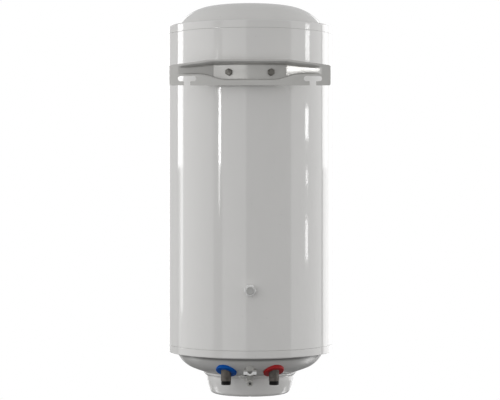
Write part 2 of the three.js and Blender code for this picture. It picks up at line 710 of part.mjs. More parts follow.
// ---------------------------------------------------------------- lower spacer
const SPACER_HEX_NEAR = 15; // distance of the hexagon's back from the wall
const SPACER_HEX_FAR = 7;
const SPACER_TIP = CASING_RADIUS - 14;
const SOCKET = 3.3;
const SOCKET_DEPTH = 4;
piece(
  "spacer_screw",
  radial(
    cut(
      join(
        bar(0, 0, SPACER_TIP, AXIS_Y - SPACER_HEX_NEAR + 1, M8_SHANK, 16),
        prism(hexagon(SPACER_FLATS), AXIS_Y - SPACER_HEX_NEAR, AXIS_Y - SPACER_HEX_FAR),
      ),
      bar(0, 0, AXIS_Y - SPACER_HEX_FAR - SOCKET_DEPTH, AXIS_Y, SOCKET, 16),
    ),
    0,
    SPACER_Z,
  ),
  WHITE_PLASTIC,
);
const padBack = AXIS_Y - SPACER_HEX_FAR + GAP;
piece(
  "spacer_pad",
  radial(
    turned(
      [
        [0, padBack - SOCKET_DEPTH],
        [SOCKET - GAP, padBack - SOCKET_DEPTH],
        [SOCKET - GAP, padBack],
        [SPACER_PAD, padBack],
        [SPACER_PAD, AXIS_Y - 0.9],
        [SPACER_PAD - 0.9, AXIS_Y],
        [0, AXIS_Y],
      ],
      24,
      0,
      0,
    ),
    0,
    SPACER_Z,
  ),
  GREY_RUBBER,
);

// ---------------------------------------------------------------- water connections
const pipeOutline = [
  [PIPE_BORE, PIPE_END],
  [THREAD_RADIUS - 0.7, PIPE_END],
  [THREAD_RADIUS, PIPE_END + 0.7],
  [THREAD_RADIUS, PIPE_END + THREAD_LENGTH],
  [PIPE_RADIUS, PIPE_END + THREAD_LENGTH + 0.4],
  [PIPE_RADIUS, PIPE_TOP],
  [PIPE_BORE, PIPE_TOP],
];
const LINER_RADIUS = PIPE_BORE - GAP;
const LINER_TOP = CASING_BOTTOM - 29.6;
const ringTilt = degrees(Math.asin((Math.hypot(PIPE_X, AXIS_Y - PIPE_Y) - BOWL_KNUCKLE_R) / BOWL_KNUCKLE));
const ringBearing = degrees(Math.asin(PIPE_X / Math.hypot(PIPE_X, AXIS_Y - PIPE_Y)));
const ringHeight =
  KNUCKLE_Z - Math.sqrt(BOWL_KNUCKLE ** 2 - (Math.hypot(PIPE_X, AXIS_Y - PIPE_Y) - BOWL_KNUCKLE_R) ** 2);
const RING_ROUND = 1.6;

// A coloured collar lying against the bowl, its bore upright round the pipe. It is set towards the
// heater's axis by as much as its slope carries its outer face away, so that face centres on the pipe.
const ringShift = RING_THICK * Math.sin((ringTilt * Math.PI) / 180);
const collar = (side) =>
  cut(
    turned(
      [
        [0, -RING_THICK],
        ...arc(RING_RADIUS - RING_ROUND, RING_ROUND - RING_THICK, RING_ROUND, -90, 0, 2),
        [RING_RADIUS, 5],
        [0, 5],
      ],
      28,
      0,
      0,
    )
      .rotate([-ringTilt, 0, 0])
      .translate([0, ringShift, 0])
      .rotate([0, 0, side * ringBearing])
      .translate([side * PIPE_X, PIPE_Y, ringHeight]),
    bowlSpace,
    bar(side * PIPE_X, PIPE_Y, PIPE_END, PIPE_TOP, PIPE_HOLE, 20),
  );

for (const [side, name, ring, colour] of [
  [-1, "cold_inlet", "cold_ring", BLUE],
  [1, "hot_outlet", "hot_ring", RED],
]) {
  const x = side * PIPE_X;
  piece(name + "_pipe", turned(pipeOutline, 24, x, PIPE_Y), DARK_STEEL);
  piece(name + "_liner", pipe(x, PIPE_Y, PIPE_END + GAP, LINER_TOP, LINER_RADIUS, 6.5, 16), BLACK_PLASTIC);
  piece(ring, collar(side), colour);
}

const TUBE_BORE = 6;
const HOT_TUBE_TOP = TANK_TOP + 2;
const DIFFUSER_TOP = CASING_BOTTOM + 8.4;
const DIFFUSER_CAP = 12;
piece(
  "hot_outlet_tube",
  pipe(PIPE_X, PIPE_Y, LINER_TOP + 1, HOT_TUBE_TOP, LINER_RADIUS, TUBE_BORE, 16),
  STAINLESS,
);
piece(
  "cold_inlet_diffuser",
  cut(
    join(
      pipe(-PIPE_X, PIPE_Y, LINER_TOP + 1, DIFFUSER_TOP - 2, LINER_RADIUS, TUBE_BORE, 16),
      bar(-PIPE_X, PIPE_Y, DIFFUSER_TOP - 2.5, DIFFUSER_TOP, DIFFUSER_CAP, 16),
    ),
    box(-PIPE_X - 15, -PIPE_X + 15, PIPE_Y - 3, PIPE_Y + 3, PIPE_TOP + 1.5, DIFFUSER_TOP - 3),
    box(-PIPE_X - 3, -PIPE_X + 3, PIPE_Y - 15, PIPE_Y + 15, PIPE_TOP + 1.5, DIFFUSER_TOP - 3),
  ),
  WHITE_PLASTIC,
);

// ---------------------------------------------------------------- cable entry
const ENTRY_HALF = 10.3;
const ENTRY_FRONT = WALL_GAP + 28;
const CLAMP_NEAR = ENTRY_FRONT + 2;
const CLAMP_FAR = CLAMP_NEAR + 10;
const CLAMP_EAR = 13.5;
const CLAMP_EAR_LOW = CLAMP_TOP - 6.7;
const CLAMP_BORE = 4.9;
const CLAMP_BAND = 3.2;
const CLAMP_SCREW_X = 9.4;
const entryPlan = [
  ...arc(0, ENTRY_FRONT + ENTRY_HALF, ENTRY_HALF, 180, 360, 8),
  [ENTRY_HALF, CLAMP_FAR + 10],
  [-ENTRY_HALF, CLAMP_FAR + 10],
];
const clampScrewX = [-CLAMP_SCREW_X, CLAMP_SCREW_X];
const clampMiddle = (CLAMP_NEAR + CLAMP_FAR) / 2;
const CLAMP_SCREW = 1.5; // radius
piece(
  "cable_entry_boss",
  cut(
    join(
      prism(entryPlan, CLAMP_TOP + GAP, CLAMP_TOP + 26),
      box(-CLAMP_EAR, CLAMP_EAR, CLAMP_NEAR, CLAMP_FAR, CLAMP_TOP + GAP, CLAMP_TOP + 3.6),
    ),
    bowlSpace,
    ...clampScrewX.map((x) => bar(x, clampMiddle, CLAMP_TOP - 4, CLAMP_TOP + 4.5, CLAMP_SCREW + GAP, 8)),
  ),
  LIGHT_PLASTIC,
);
const bandOuter = CLAMP_BORE + CLAMP_BAND;
const bandStart = -degrees(Math.acos((CLAMP_EAR_LOW - CABLE_HOLE_Z) / -bandOuter)) - 90;
const clampOutline = [
  [-CLAMP_EAR, CLAMP_TOP],
  [-CLAMP_EAR, CLAMP_EAR_LOW],
  ...arc(0, CABLE_HOLE_Z, bandOuter, bandStart, -180 - bandStart, 8),
  [CLAMP_EAR, CLAMP_EAR_LOW],
  [CLAMP_EAR, CLAMP_TOP],
  [CLAMP_BORE, CLAMP_TOP],
  ...arc(0, CABLE_HOLE_Z, CLAMP_BORE, 0, -180, 8),
  [-CLAMP_BORE, CLAMP_TOP],
];
piece(
  "cable_clamp",
  cut(
    wallPrism(clampOutline, CLAMP_NEAR, CLAMP_FAR),
    ...clampScrewX.map((x) => bar(x, clampMiddle, CLAMP_TOP - 14, CLAMP_TOP + 1, CLAMP_SCREW + GAP, 8)),
  ),
  LIGHT_PLASTIC,
);
clampScrewX.forEach((x, i) => {
  const under = CLAMP_EAR_LOW - GAP;
  const outline = [
    [0, under - 2.6],
    [2.2, under - 2.6],
    [3, under - 1.6],
    [3, under],
    [CLAMP_SCREW, under],
    [CLAMP_SCREW, CLAMP_TOP + 3.4],
    [0, CLAMP_TOP + 3.4],
  ];
  piece("clamp_screw_" + (i + 1), turned(outline, 10, x, clampMiddle), DARK_STEEL);
});

// A rubber elbow: its neck goes up through the bowl, its mouth looks at the wall.
const SLEEVE_BORE = 2.9;
const SLEEVE_MOUTH_Y = SLEEVE_Y - 11;
const SLEEVE_ROOT_Z = CLAMP_TOP - 11.2;
const SLEEVE_ROOT = 7.8;
const SLEEVE_TIP = 4.9;
const alongWall = (body, y, z) => body.rotate([90, 0, 0]).translate([0, y, z]);
piece(
  "cable_sleeve",
  cut(
    join(
      cut(
        turned(
          [[0, SLEEVE_TURN_Z], [SLEEVE_TIP, SLEEVE_TURN_Z], [SLEEVE_ROOT, SLEEVE_ROOT_Z], [SLEEVE_ROOT, SLEEVE_TOP], [0, SLEEVE_TOP]],
          20,
          0,
          SLEEVE_Y,
        ),
        bowlSpace,
      ),
      bar(0, SLEEVE_Y, SLEEVE_ROOT_Z + 1, SLEEVE_TOP, SLEEVE_NECK, 12),
      solid(new THREE.SphereGeometry(SLEEVE_TIP, 20, 8).translate(0, SLEEVE_Y, SLEEVE_TURN_Z)),
      alongWall(bar(0, 0, 0, SLEEVE_Y - SLEEVE_MOUTH_Y, SLEEVE_TIP, 20), SLEEVE_Y, SLEEVE_TURN_Z),
    ),
    bar(0, SLEEVE_Y, SLEEVE_TURN_Z, SLEEVE_TOP + 6, SLEEVE_BORE, 12),
    alongWall(bar(0, 0, 0, 30, SLEEVE_BORE, 12), SLEEVE_Y, SLEEVE_TURN_Z),
  ),
  GREY_RUBBER,
);

const STRAP_INNER = SLEEVE_TIP + GAP;
const EYE = [-17.9, SLEEVE_TURN_Z + 13.4];
const strapWire = [
  [-5.4, SLEEVE_Y - 7.4, SLEEVE_TURN_Z + 3.9],
  [-10.2, SLEEVE_Y - 7.2, SLEEVE_TURN_Z + 6],
  [-14.6, SLEEVE_Y - 6.8, SLEEVE_TURN_Z + 10.2],
];
piece(
  "cable_strap",
  join(
    alongWall(pipe(0, 0, 6.7, 9.1, STRAP_INNER + 1.7, STRAP_INNER, 20), SLEEVE_Y, SLEEVE_TURN_Z),
    wire(strapWire, 1.2, 4, 6),
    alongWall(pipe(0, 0, 5.4, 8.2, 4.6, 2.3, 14).scale([1.15, 0.85, 1]), SLEEVE_Y, 0).translate([
      EYE[0],
      0,
      EYE[1],
    ]),
  ),
  LIGHT_PLASTIC,
);

// ---------------------------------------------------------------- heating flange
const onAxis = (dx, dy) => [dx, AXIS_Y + dy];
const plateHole = (x, y, radius, sides) => bar(x, y, PLATE_BOTTOM - THROUGH, PLATE_TOP + THROUGH, radius, sides);
const studHoles = (radius) => studPlaces.map(([x, y]) => plateHole(x, y, radius, 8));
piece(
  "flange_gasket",
  cut(
    pipe(0, AXIS_Y, NECK_END - GAP - GASKET, NECK_END - GAP, FLANGE_RADIUS, NECK_BORE + 1, 28),
    ...studHoles(STUD_RADIUS + 0.4),
  ),
  RUBBER,
);
const POCKET_RADIUS = 5;
const ANODE_STUD = 2.4;
const EARTH_STUD = 2;
piece(
  "flange_plate",
  cut(
    bar(0, AXIS_Y, PLATE_BOTTOM, PLATE_TOP, FLANGE_RADIUS, 28),
    ...studHoles(STUD_RADIUS + 0.5),
    ...[-1, 1].map((s) => plateHole(s * ELEMENT_X, AXIS_Y + ELEMENT_Y, ELEMENT_RADIUS + GAP, 12)),
    plateHole(...onAxis(0, THERMOSTAT_Y), POCKET_RADIUS + GAP, 16),
    plateHole(...onAxis(0, ANODE_Y), ANODE_STUD + GAP, 8),
    bar(...onAxis(...EARTH), PLATE_BOTTOM - THROUGH, PLATE_TOP - 2, EARTH_STUD + GAP, 8),
  ),
  STAINLESS,
);

// A hexagon nut on a stud, just under the flange plate.
const nut = (x, y, flats, high, bore) =>
  cut(
    prism(hexagon(flats), PLATE_BOTTOM - GAP - high, PLATE_BOTTOM - GAP).translate([x, y, 0]),
    bar(x, y, PLATE_BOTTOM - THROUGH, PLATE_TOP, bore, 10),
  );
studPlaces.forEach(([x, y], i) =>
  piece("flange_nut_" + (i + 1), nut(x, y, M8_FLATS, 6.5, STUD_RADIUS + 0.2), ZINC),
);

const elementSeat = PLATE_BOTTOM - GAP;
const ELEMENT_BEND = new THREE.EllipseCurve(0, 0, ELEMENT_X, ELEMENT_X, 0, Math.PI);
const bendPoints = ELEMENT_BEND.getPoints(6).map((p) => [p.x, AXIS_Y + ELEMENT_Y, ELEMENT_TOP + p.y]);
piece(
  "heating_element",
  join(
    wire(
      [
        [ELEMENT_X, AXIS_Y + ELEMENT_Y, ELEMENT_TOP - 4],
        ...bendPoints,
        [-ELEMENT_X, AXIS_Y + ELEMENT_Y, ELEMENT_TOP - 4],
      ],
      ELEMENT_RADIUS,
      8,
      10,
    ),
    ...[-1, 1].map((s) =>
      turned(
        [
          [0, elementSeat - 13],
          [2, elementSeat - 13],
          [2, elementSeat - 3],
          [6.5, elementSeat - 3],
          [6.5, elementSeat],
          [ELEMENT_RADIUS, elementSeat],
          [ELEMENT_RADIUS, ELEMENT_TOP - 2],
          [0, ELEMENT_TOP - 2],
        ],
        10,
        s * ELEMENT_X,
        AXIS_Y + ELEMENT_Y,
      ),
    ),
  ),
  COPPER,
);

const ANODE_RADIUS = 10.5;
const ANODE_TOP = PLATE_BOTTOM + 221.6;
piece(
  "anode_rod",
  turned(
    [
      [0, PLATE_BOTTOM - 9],
      [ANODE_STUD, PLATE_BOTTOM - 9],
      [ANODE_STUD, PLATE_TOP + GAP],
      [ANODE_RADIUS, PLATE_TOP + GAP],
      [ANODE_RADIUS, ANODE_TOP],
      [0, ANODE_TOP],
    ],
    16,
    ...onAxis(0, ANODE_Y),
  ),
  MAGNESIUM,
);
piece("anode_nut", nut(...onAxis(0, ANODE_Y), 8, 4, ANODE_STUD + 0.2), ZINC);

const POCKET_TOP = PLATE_BOTTOM + 191.6;
piece(
  "thermostat_pocket",
  turned(
    [
      [0, POCKET_TOP - 1.5],
      [POCKET_RADIUS - 1, POCKET_TOP - 1.5],
      [POCKET_RADIUS - 1, PLATE_BOTTOM],
      [POCKET_RADIUS, PLATE_BOTTOM],
      [POCKET_RADIUS, POCKET_TOP],
      [0, POCKET_TOP],
    ],
    16,
    ...onAxis(0, THERMOSTAT_Y),
  ),
  STAINLESS,
);

const THERMOSTAT_HALF = 22;
const THERMOSTAT_NEAR = 7;
const THERMOSTAT_FAR = 37;
const THERMOSTAT_LOW = below(21);
const LEAD_Z = below(10.4);
const SPINDLE_TOP = below(14.8);
const TERMINAL_Z = below(6.4);
const TAIL_Z = below(8.4); // leads on the element's tails
const LEAD = 1.2;
const socket = LEAD + 0.5;
const alongX = (x0, x1, y, z, radius) =>
  bar(0, 0, x0, x1, radius, 8).rotate([0, 90, 0]).translate([0, y, z]);
piece(
  "thermostat_body",
  cut(
    join(
      box(-THERMOSTAT_HALF, THERMOSTAT_HALF, AXIS_Y + THERMOSTAT_NEAR, AXIS_Y + THERMOSTAT_FAR, THERMOSTAT_LOW, elementSeat),
      bar(...onAxis(0, THERMOSTAT_Y), elementSeat - 1, POCKET_TOP - 12, POCKET_RADIUS - 1 - GAP, 12),
    ),
    bar(...onAxis(0, THERMOSTAT_Y), THERMOSTAT_LOW - 1, SPINDLE_TOP + 0.4, SPINDLE_RADIUS + GAP, 12),
    alongX(-THERMOSTAT_HALF - 1, -THERMOSTAT_HALF + 4, AXIS_Y + 12, LEAD_Z, socket),
    alongX(THERMOSTAT_HALF - 4, THERMOSTAT_HALF + 1, AXIS_Y + 12, LEAD_Z, socket),
  ),
  BLACK_PLASTIC,
);
const KNOB_TOP = wellFloor - 0.5;
const KNOB_LOW = COVER_BOTTOM + 0.7;
const KNOB_RADIUS = 20;
piece("thermostat_spindle", bar(...onAxis(0, THERMOSTAT_Y), KNOB_LOW + 3, SPINDLE_TOP, SPINDLE_RADIUS, 12), BRASS);
piece(
  "thermostat_knob",
  cut(
    join(
      turned(
        [
          [0, KNOB_LOW + 2.4],
          [KNOB_RADIUS - 3, KNOB_LOW + 2.4],
          [KNOB_RADIUS - 1.5, KNOB_LOW + 1],
          [KNOB_RADIUS, KNOB_LOW + 2.2],
          [KNOB_RADIUS, KNOB_TOP],
          [0, KNOB_TOP],
        ],
        36,
        ...onAxis(0, THERMOSTAT_Y),
      ),
      box(-2.2, 2.2, wellY - 17.2, wellY + 17.2, KNOB_LOW, KNOB_LOW + 3),
    ),
    bar(...onAxis(0, THERMOSTAT_Y), KNOB_LOW + 3 - GAP, KNOB_TOP + 1, SPINDLE_RADIUS + GAP, 12),
    ...Array.from({ length: 12 }, (_, i) => {
      const a = (i * Math.PI) / 6;
      return bar(21 * Math.cos(a), wellY + 21 * Math.sin(a), KNOB_LOW - 1, KNOB_TOP + 1, 2, 6);
    }),
  ),
  BLACK_PLASTIC,
);

const CUTOUT_LOW = below(14.4);
piece(
  "thermal_cutout",
  cut(
    bar(...onAxis(...CUTOUT), CUTOUT_LOW, elementSeat, 10, 20),
    bar(...onAxis(...CUTOUT), CUTOUT_LOW - 1, CUTOUT_LOW + 5, 2.8, 12),
    solid(new THREE.CylinderGeometry(socket, socket, 5, 8).translate(CUTOUT[0] + 3, AXIS_Y + CUTOUT[1] + 8.5, LEAD_Z)),
    alongX(CUTOUT[0] + 6, CUTOUT[0] + 11, AXIS_Y + CUTOUT[1], LEAD_Z + 3, socket),
  ),
  BLACK_PLASTIC,
);
piece(
  "reset_button",
  bar(...onAxis(...CUTOUT), CUTOUT_LOW - 3, CUTOUT_LOW + 3, 2.4, 12),
  RED,
);
const [tx, ty] = onAxis(...TERMINALS);
piece(
  "terminal_block",
  cut(
    box(tx - 9, tx + 9, ty - 13, ty + 13, CUTOUT_LOW, elementSeat),
    ...[-8, 0, 8].map((dy) => bar(tx, ty + dy, CUTOUT_LOW - 1, CUTOUT_LOW + 5, 2.4, 8)),
    solid(new THREE.CylinderGeometry(socket, socket, 5, 8).translate(tx, ty + 11.5, TERMINAL_Z)),
    solid(new THREE.CylinderGeometry(socket, socket, 5, 8).translate(tx, ty - 11.5, TERMINAL_Z)),
    alongX(tx - 10, tx - 5, ty, TERMINAL_Z, socket),
  ),
  WHITE_PLASTIC,
);
piece("earth_stud", bar(...onAxis(...EARTH), below(12.4), PLATE_TOP - 2 - GAP, EARTH_STUD, 10), ZINC);
piece("earth_nut", nut(...onAxis(...EARTH), 7, 3.2, EARTH_STUD + 0.2), ZINC);

// Leads held at both ends, points given from the heater's axis.
const lead = (points, steps) =>
  wire(
    points.map(([dx, dy, z]) => [dx, AXIS_Y + dy, z]),
    LEAD,
    steps,
    5,
  );
piece(
  "lead_supply",
  lead([[33, -2.4, TERMINAL_Z], [33, 2.6, TERMINAL_Z], [29.5, 10, below(9.4)], [25, 12, LEAD_Z], [20, 12, LEAD_Z]], 8),
  { color: 0x7a4a2a, roughness: 0.5, metalness: 0 },
);
piece(
  "lead_cutout",
  lead([[-20, 12, LEAD_Z], [-26, 11, LEAD_Z], [-29.6, 4, LEAD_Z], [-30, -4.6, LEAD_Z]], 8),
  { color: 0x7a4a2a, roughness: 0.5, metalness: 0 },
);
piece(
  "lead_element",
  lead([[-25.5, -12, LEAD_Z + 3], [-21.5, -12, LEAD_Z + 3], [-14.6, -9.4, TAIL_Z]], 6),
  { color: 0x7a4a2a, roughness: 0.5, metalness: 0 },
);
piece("lead_neutral", lead([[27, -12, TERMINAL_Z], [22, -12, TERMINAL_Z], [14.6, -9.4, TAIL_Z]], 6), BLUE);
piece(
  "lead_earth",
  lead(
    [
      [33, -22.6, TERMINAL_Z],
      [33, -28, TERMINAL_Z],
      [28, -34, below(7.4)],
      [14, -38, below(9.4)],
      [-14, -38, below(9.4)],
      [-30, -32, below(9.4)],
      [-46, -16, below(9.4)],
      [-47, 0, below(9.4)],
      [-42.5, 14, TAIL_Z],
      [-38, 20.6, TAIL_Z],
    ],
    16,
  ),
  { color: 0x7d9a2e, roughness: 0.5, metalness: 0 },
);

export default parts;
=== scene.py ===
# %% [markdown]
# # A slim wall-hung water heater
# The measured model of the heater already exists as a "frame" of separate solids. This lesson
# keeps the frame's overall sizes and gives its pieces smooth surfaces, real edges and finishes.
# All shapes are worked out with numpy, in millimetres, and scaled to metres when the mesh is made.

# %% Load the frame
import json
import bpy
import bmesh
import numpy as np
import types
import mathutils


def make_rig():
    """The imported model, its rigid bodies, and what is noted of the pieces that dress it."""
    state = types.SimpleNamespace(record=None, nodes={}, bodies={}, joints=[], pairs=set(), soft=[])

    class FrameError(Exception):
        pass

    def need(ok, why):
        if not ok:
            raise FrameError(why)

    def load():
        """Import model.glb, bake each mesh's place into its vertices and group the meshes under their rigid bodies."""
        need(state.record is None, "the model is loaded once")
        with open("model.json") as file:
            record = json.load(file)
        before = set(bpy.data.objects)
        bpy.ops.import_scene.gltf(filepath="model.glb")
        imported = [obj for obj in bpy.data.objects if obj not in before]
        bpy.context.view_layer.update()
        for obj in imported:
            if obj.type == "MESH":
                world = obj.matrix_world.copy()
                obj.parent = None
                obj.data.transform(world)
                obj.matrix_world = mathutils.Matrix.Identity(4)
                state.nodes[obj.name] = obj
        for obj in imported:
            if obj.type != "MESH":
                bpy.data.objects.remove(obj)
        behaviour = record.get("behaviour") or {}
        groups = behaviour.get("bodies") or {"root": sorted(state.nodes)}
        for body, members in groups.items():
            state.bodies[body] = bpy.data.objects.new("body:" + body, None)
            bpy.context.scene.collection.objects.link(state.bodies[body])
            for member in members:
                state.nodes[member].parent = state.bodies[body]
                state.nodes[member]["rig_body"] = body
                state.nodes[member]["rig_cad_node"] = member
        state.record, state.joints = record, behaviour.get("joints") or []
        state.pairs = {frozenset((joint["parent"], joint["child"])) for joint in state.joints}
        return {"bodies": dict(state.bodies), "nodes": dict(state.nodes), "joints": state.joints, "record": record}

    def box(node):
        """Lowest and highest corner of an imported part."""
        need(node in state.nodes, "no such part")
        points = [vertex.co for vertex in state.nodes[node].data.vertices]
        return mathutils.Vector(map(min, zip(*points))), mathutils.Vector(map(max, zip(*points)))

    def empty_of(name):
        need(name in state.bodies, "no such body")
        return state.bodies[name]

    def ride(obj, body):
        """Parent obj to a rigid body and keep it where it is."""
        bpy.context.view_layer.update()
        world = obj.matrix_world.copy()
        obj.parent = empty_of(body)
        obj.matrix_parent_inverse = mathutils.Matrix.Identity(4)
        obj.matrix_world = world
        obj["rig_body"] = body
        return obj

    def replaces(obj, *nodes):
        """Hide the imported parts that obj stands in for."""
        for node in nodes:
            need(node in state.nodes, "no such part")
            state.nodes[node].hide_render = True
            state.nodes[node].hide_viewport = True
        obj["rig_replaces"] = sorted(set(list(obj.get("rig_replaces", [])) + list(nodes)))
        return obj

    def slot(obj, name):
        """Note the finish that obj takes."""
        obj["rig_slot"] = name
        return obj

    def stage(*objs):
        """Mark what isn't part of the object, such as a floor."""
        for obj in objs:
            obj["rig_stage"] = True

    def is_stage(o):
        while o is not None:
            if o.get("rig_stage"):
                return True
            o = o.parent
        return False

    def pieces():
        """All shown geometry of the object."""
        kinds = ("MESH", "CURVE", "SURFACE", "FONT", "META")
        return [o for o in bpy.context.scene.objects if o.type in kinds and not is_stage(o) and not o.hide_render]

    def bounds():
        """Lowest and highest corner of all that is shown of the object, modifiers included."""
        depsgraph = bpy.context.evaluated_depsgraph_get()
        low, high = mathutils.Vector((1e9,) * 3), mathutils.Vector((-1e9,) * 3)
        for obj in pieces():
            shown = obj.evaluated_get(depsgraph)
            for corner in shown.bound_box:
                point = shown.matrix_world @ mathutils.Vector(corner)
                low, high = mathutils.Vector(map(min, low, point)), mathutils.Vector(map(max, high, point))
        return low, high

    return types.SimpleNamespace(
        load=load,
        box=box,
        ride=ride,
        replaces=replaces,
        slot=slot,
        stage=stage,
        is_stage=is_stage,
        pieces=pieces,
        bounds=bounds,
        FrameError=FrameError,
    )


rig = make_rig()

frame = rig.load()
cad_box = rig.bounds()
MM = 0.001
print("nodes in the frame:", len(frame["nodes"]))
print("frame box:", [[round(c, 4) for c in corner] for corner in cad_box])

# %% [markdown]
# ## Camera
# The heater is looked at from its wall side, level with the middle of its height. A long lens far
# away keeps the sides of the casing almost parallel, and a small downward shift sets the framing.

# %% Camera
camera_lens = bpy.data.cameras.new("eye")
camera_lens.lens = 116.9
camera_lens.sensor_width = 36
camera_lens.shift_y = -0.01496
camera_lens.clip_end = 100
camera = bpy.data.objects.new("eye", camera_lens)
camera.location = (0, -3.3115, -0.225)
camera.rotation_euler = (np.pi / 2, 0, 0)
bpy.context.scene.collection.objects.link(camera)
bpy.context.scene.camera = camera
bpy.context.scene.view_settings.view_transform = "Standard"
print("camera distance from the wall plane:", -camera.location.y, "m")

# %% [markdown]
# ## Sizes read from the frame
# The main lengths are taken from the boxes of the nodes, so that the visual pieces follow the
# frame. Heights are along Z, and the heater's axis stands at (0, axis_y).

# %% Sizes
def extent(node):
    """Lowest and highest corner of a frame node, as two arrays in millimetres."""
    low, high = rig.box(node)
    return np.array(low) / MM, np.array(high) / MM


casing_low, casing_high = extent("casing_shell")
cover_low, cover_high = extent("service_cover")
casing_radius = (casing_high[0] - casing_low[0]) / 2
axis_y = (casing_high[1] + casing_low[1]) / 2
casing_top, casing_bottom = casing_high[2], casing_low[2]
apex = extent("top_cap")[1][2]
print("casing radius", round(casing_radius, 2), "axis at y", round(axis_y, 2))
print("apex at", round(apex, 2))

# %% [markdown]
# ## Shape helpers
# Most pieces of a heater are pressed or turned, so they are profiles carried round an axis. One
# helper softens the corners of a profile, one turns it, and one closes any grid into a mesh.

# %% Softened profile
def softened(corners, steps=5):
    """Round off a polyline. Each corner is (across, up, radius). A corner of radius f between
    directions a and b starts f * tan(turn / 2) before the corner and ends as far after it, and
    the points between lie on a circle of radius f that touches both sides."""
    points = np.array([c[:2] for c in corners], float)
    radii = [c[2] if len(c) > 2 else 0 for c in corners]
    out = [points[:1]]
    for i in range(1, len(points) - 1):
        into = points[i] - points[i - 1]
        away = points[i + 1] - points[i]
        lengths = np.hypot(*into), np.hypot(*away)
        into, away = into / lengths[0], away / lengths[1]
        turn = np.arctan2(into[0] * away[1] - into[1] * away[0], into @ away)
        if radii[i] == 0 or abs(turn) < 1e-3:
            out.append(points[i : i + 1])
            continue
        back = min(radii[i] * np.tan(abs(turn) / 2), 0.49 * min(lengths))
        radius = back / np.tan(abs(turn) / 2)
        side = np.sign(turn) * np.array([-into[1], into[0]])
        centre = points[i] - into * back + side * radius
        angle = np.linspace(0, turn, steps + 1)
        spoke = -side * radius
        c, s = np.cos(angle), np.sin(angle)
        spokes = np.stack([spoke[0] * c - spoke[1] * s, spoke[0] * s + spoke[1] * c], 1)
        out.append(centre + spokes)
    out.append(points[-1:])
    return np.concatenate(out)


# %% Arc
def arc(across, up, radius, start, end, steps):
    """Points on a circle in the profile plane, angles in degrees, 0 pointing outwards."""
    a = np.radians(np.linspace(start, end, steps + 1))
    return np.stack([across + radius * np.cos(a), up + radius * np.sin(a)], 1)


# %% Grid to mesh
def mesh_from_grid(name, grid, wrap_u=True, wrap_v=False, sharp=35):
    """A mesh from a grid of points, shape (u, v, 3) in millimetres. Every grid square becomes one
    face, wrap_u and wrap_v join the last row or column to the first, rows that meet in a point
    are merged, and edges that bend more than `sharp` degrees stay crisp."""
    nu, nv = grid.shape[:2]
    u = np.arange(nu if wrap_u else nu - 1)
    v = np.arange(nv if wrap_v else nv - 1)
    uu, vv = np.meshgrid(u, v, indexing="ij")
    un, vn = (uu + 1) % nu, (vv + 1) % nv
    faces = np.stack([uu * nv + vv, un * nv + vv, un * nv + vn, uu * nv + vn], -1).reshape(-1, 4)
    mesh = bpy.data.meshes.new(name)
    mesh.from_pydata((grid.reshape(-1, 3) * MM).tolist(), [], faces.tolist())
    work = bmesh.new()
    work.from_mesh(mesh)
    bmesh.ops.remove_doubles(work, verts=work.verts, dist=2e-6)
    bmesh.ops.dissolve_degenerate(work, edges=work.edges, dist=1e-7)
    holes = [e for e in work.edges if e.is_boundary]
    if holes:
        bmesh.ops.holes_fill(work, edges=holes, sides=0)
    bmesh.ops.recalc_face_normals(work, faces=work.faces)
    if work.calc_volume(signed=True) < 0:
        bmesh.ops.reverse_faces(work, faces=work.faces)
    work.to_mesh(mesh)
    work.free()
    mesh.shade_smooth()
    mesh.set_sharp_from_angle(angle=np.radians(sharp))
    piece = bpy.data.objects.new(name, mesh)
    bpy.context.scene.collection.objects.link(piece)
    return piece


# %% Turned grid
def turns(sides):
    """The angles 2 pi k / sides for k from 0 to sides - 1, as a column."""
    return np.linspace(0, 2 * np.pi, sides, endpoint=False)[:, None]


def turned_grid(profile, sides, centre=(0, 0)):
    """The profile (radius, height) carried round an upright axis at `centre`: a point at radius r
    and height z goes to (cx + r cos a, cy + r sin a, z) for every angle a."""
    a = turns(sides)
    r, z = profile[None, :, 0], profile[None, :, 1]
    return np.stack([centre[0] + r * np.cos(a), centre[1] + r * np.sin(a), z + 0 * a], -1)


def braced(profile, near=1.0):
    """Points set `near` the ends of every long straight part. Shading is blended from point to
    point, so a brace keeps the bend of a rounded edge from reaching into the flat beside it."""
    out = [profile[:1]]
    for start, end in zip(profile[:-1], profile[1:]):
        length = np.hypot(*(end - start))
        if length > 6 * near:
            step = (end - start) * near / length
            out.append([start + step, end - step])
        out.append([end])
    return np.concatenate(out)


def turned(name, profile, sides, centre=None, closed=True):
    """A turned piece, round the heater's axis where no centre is given. A closed profile joins
    its last point to its first."""
    centre = (0, axis_y) if centre is None else centre
    grid = turned_grid(braced(np.asarray(profile, float)), sides, centre)
    return mesh_from_grid(name, grid, wrap_v=closed)


# %% Placing on the casing
def laid_radially(points, angle, height):
    """Turn points built along +Z so that Z points outwards from the heater's axis: `angle` is
    measured from the wall side towards +X, and `height` is the level they end up at."""
    x, y, z = points[..., 0], points[..., 1], points[..., 2]
    c, s = np.cos(angle), np.sin(angle)
    return np.stack([x * c + z * s, axis_y + x * s - z * c, y + height], -1)


def stand_in(piece, *nodes, body="heater"):
    """The new piece takes the place of these frame nodes and moves with their body."""
    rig.replaces(piece, *nodes)
    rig.ride(piece, body)
    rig.slot(piece, slot_of[nodes[0]])


slot_of = {s["node"]: s["material_slot"] for s in frame["record"]["subparts"]}
print("finishes in the record:", len(set(slot_of.values())))

# %% [markdown]
# ## Casing and caps
# The casing is a rolled sheet-steel tube. Both ends are closed by pressed caps whose bands lie
# flush with it, so the only sign of the joint is a fine dark seam. Turning a profile is the
# plainest way to make all three, and the seams are real gaps with softened lips.

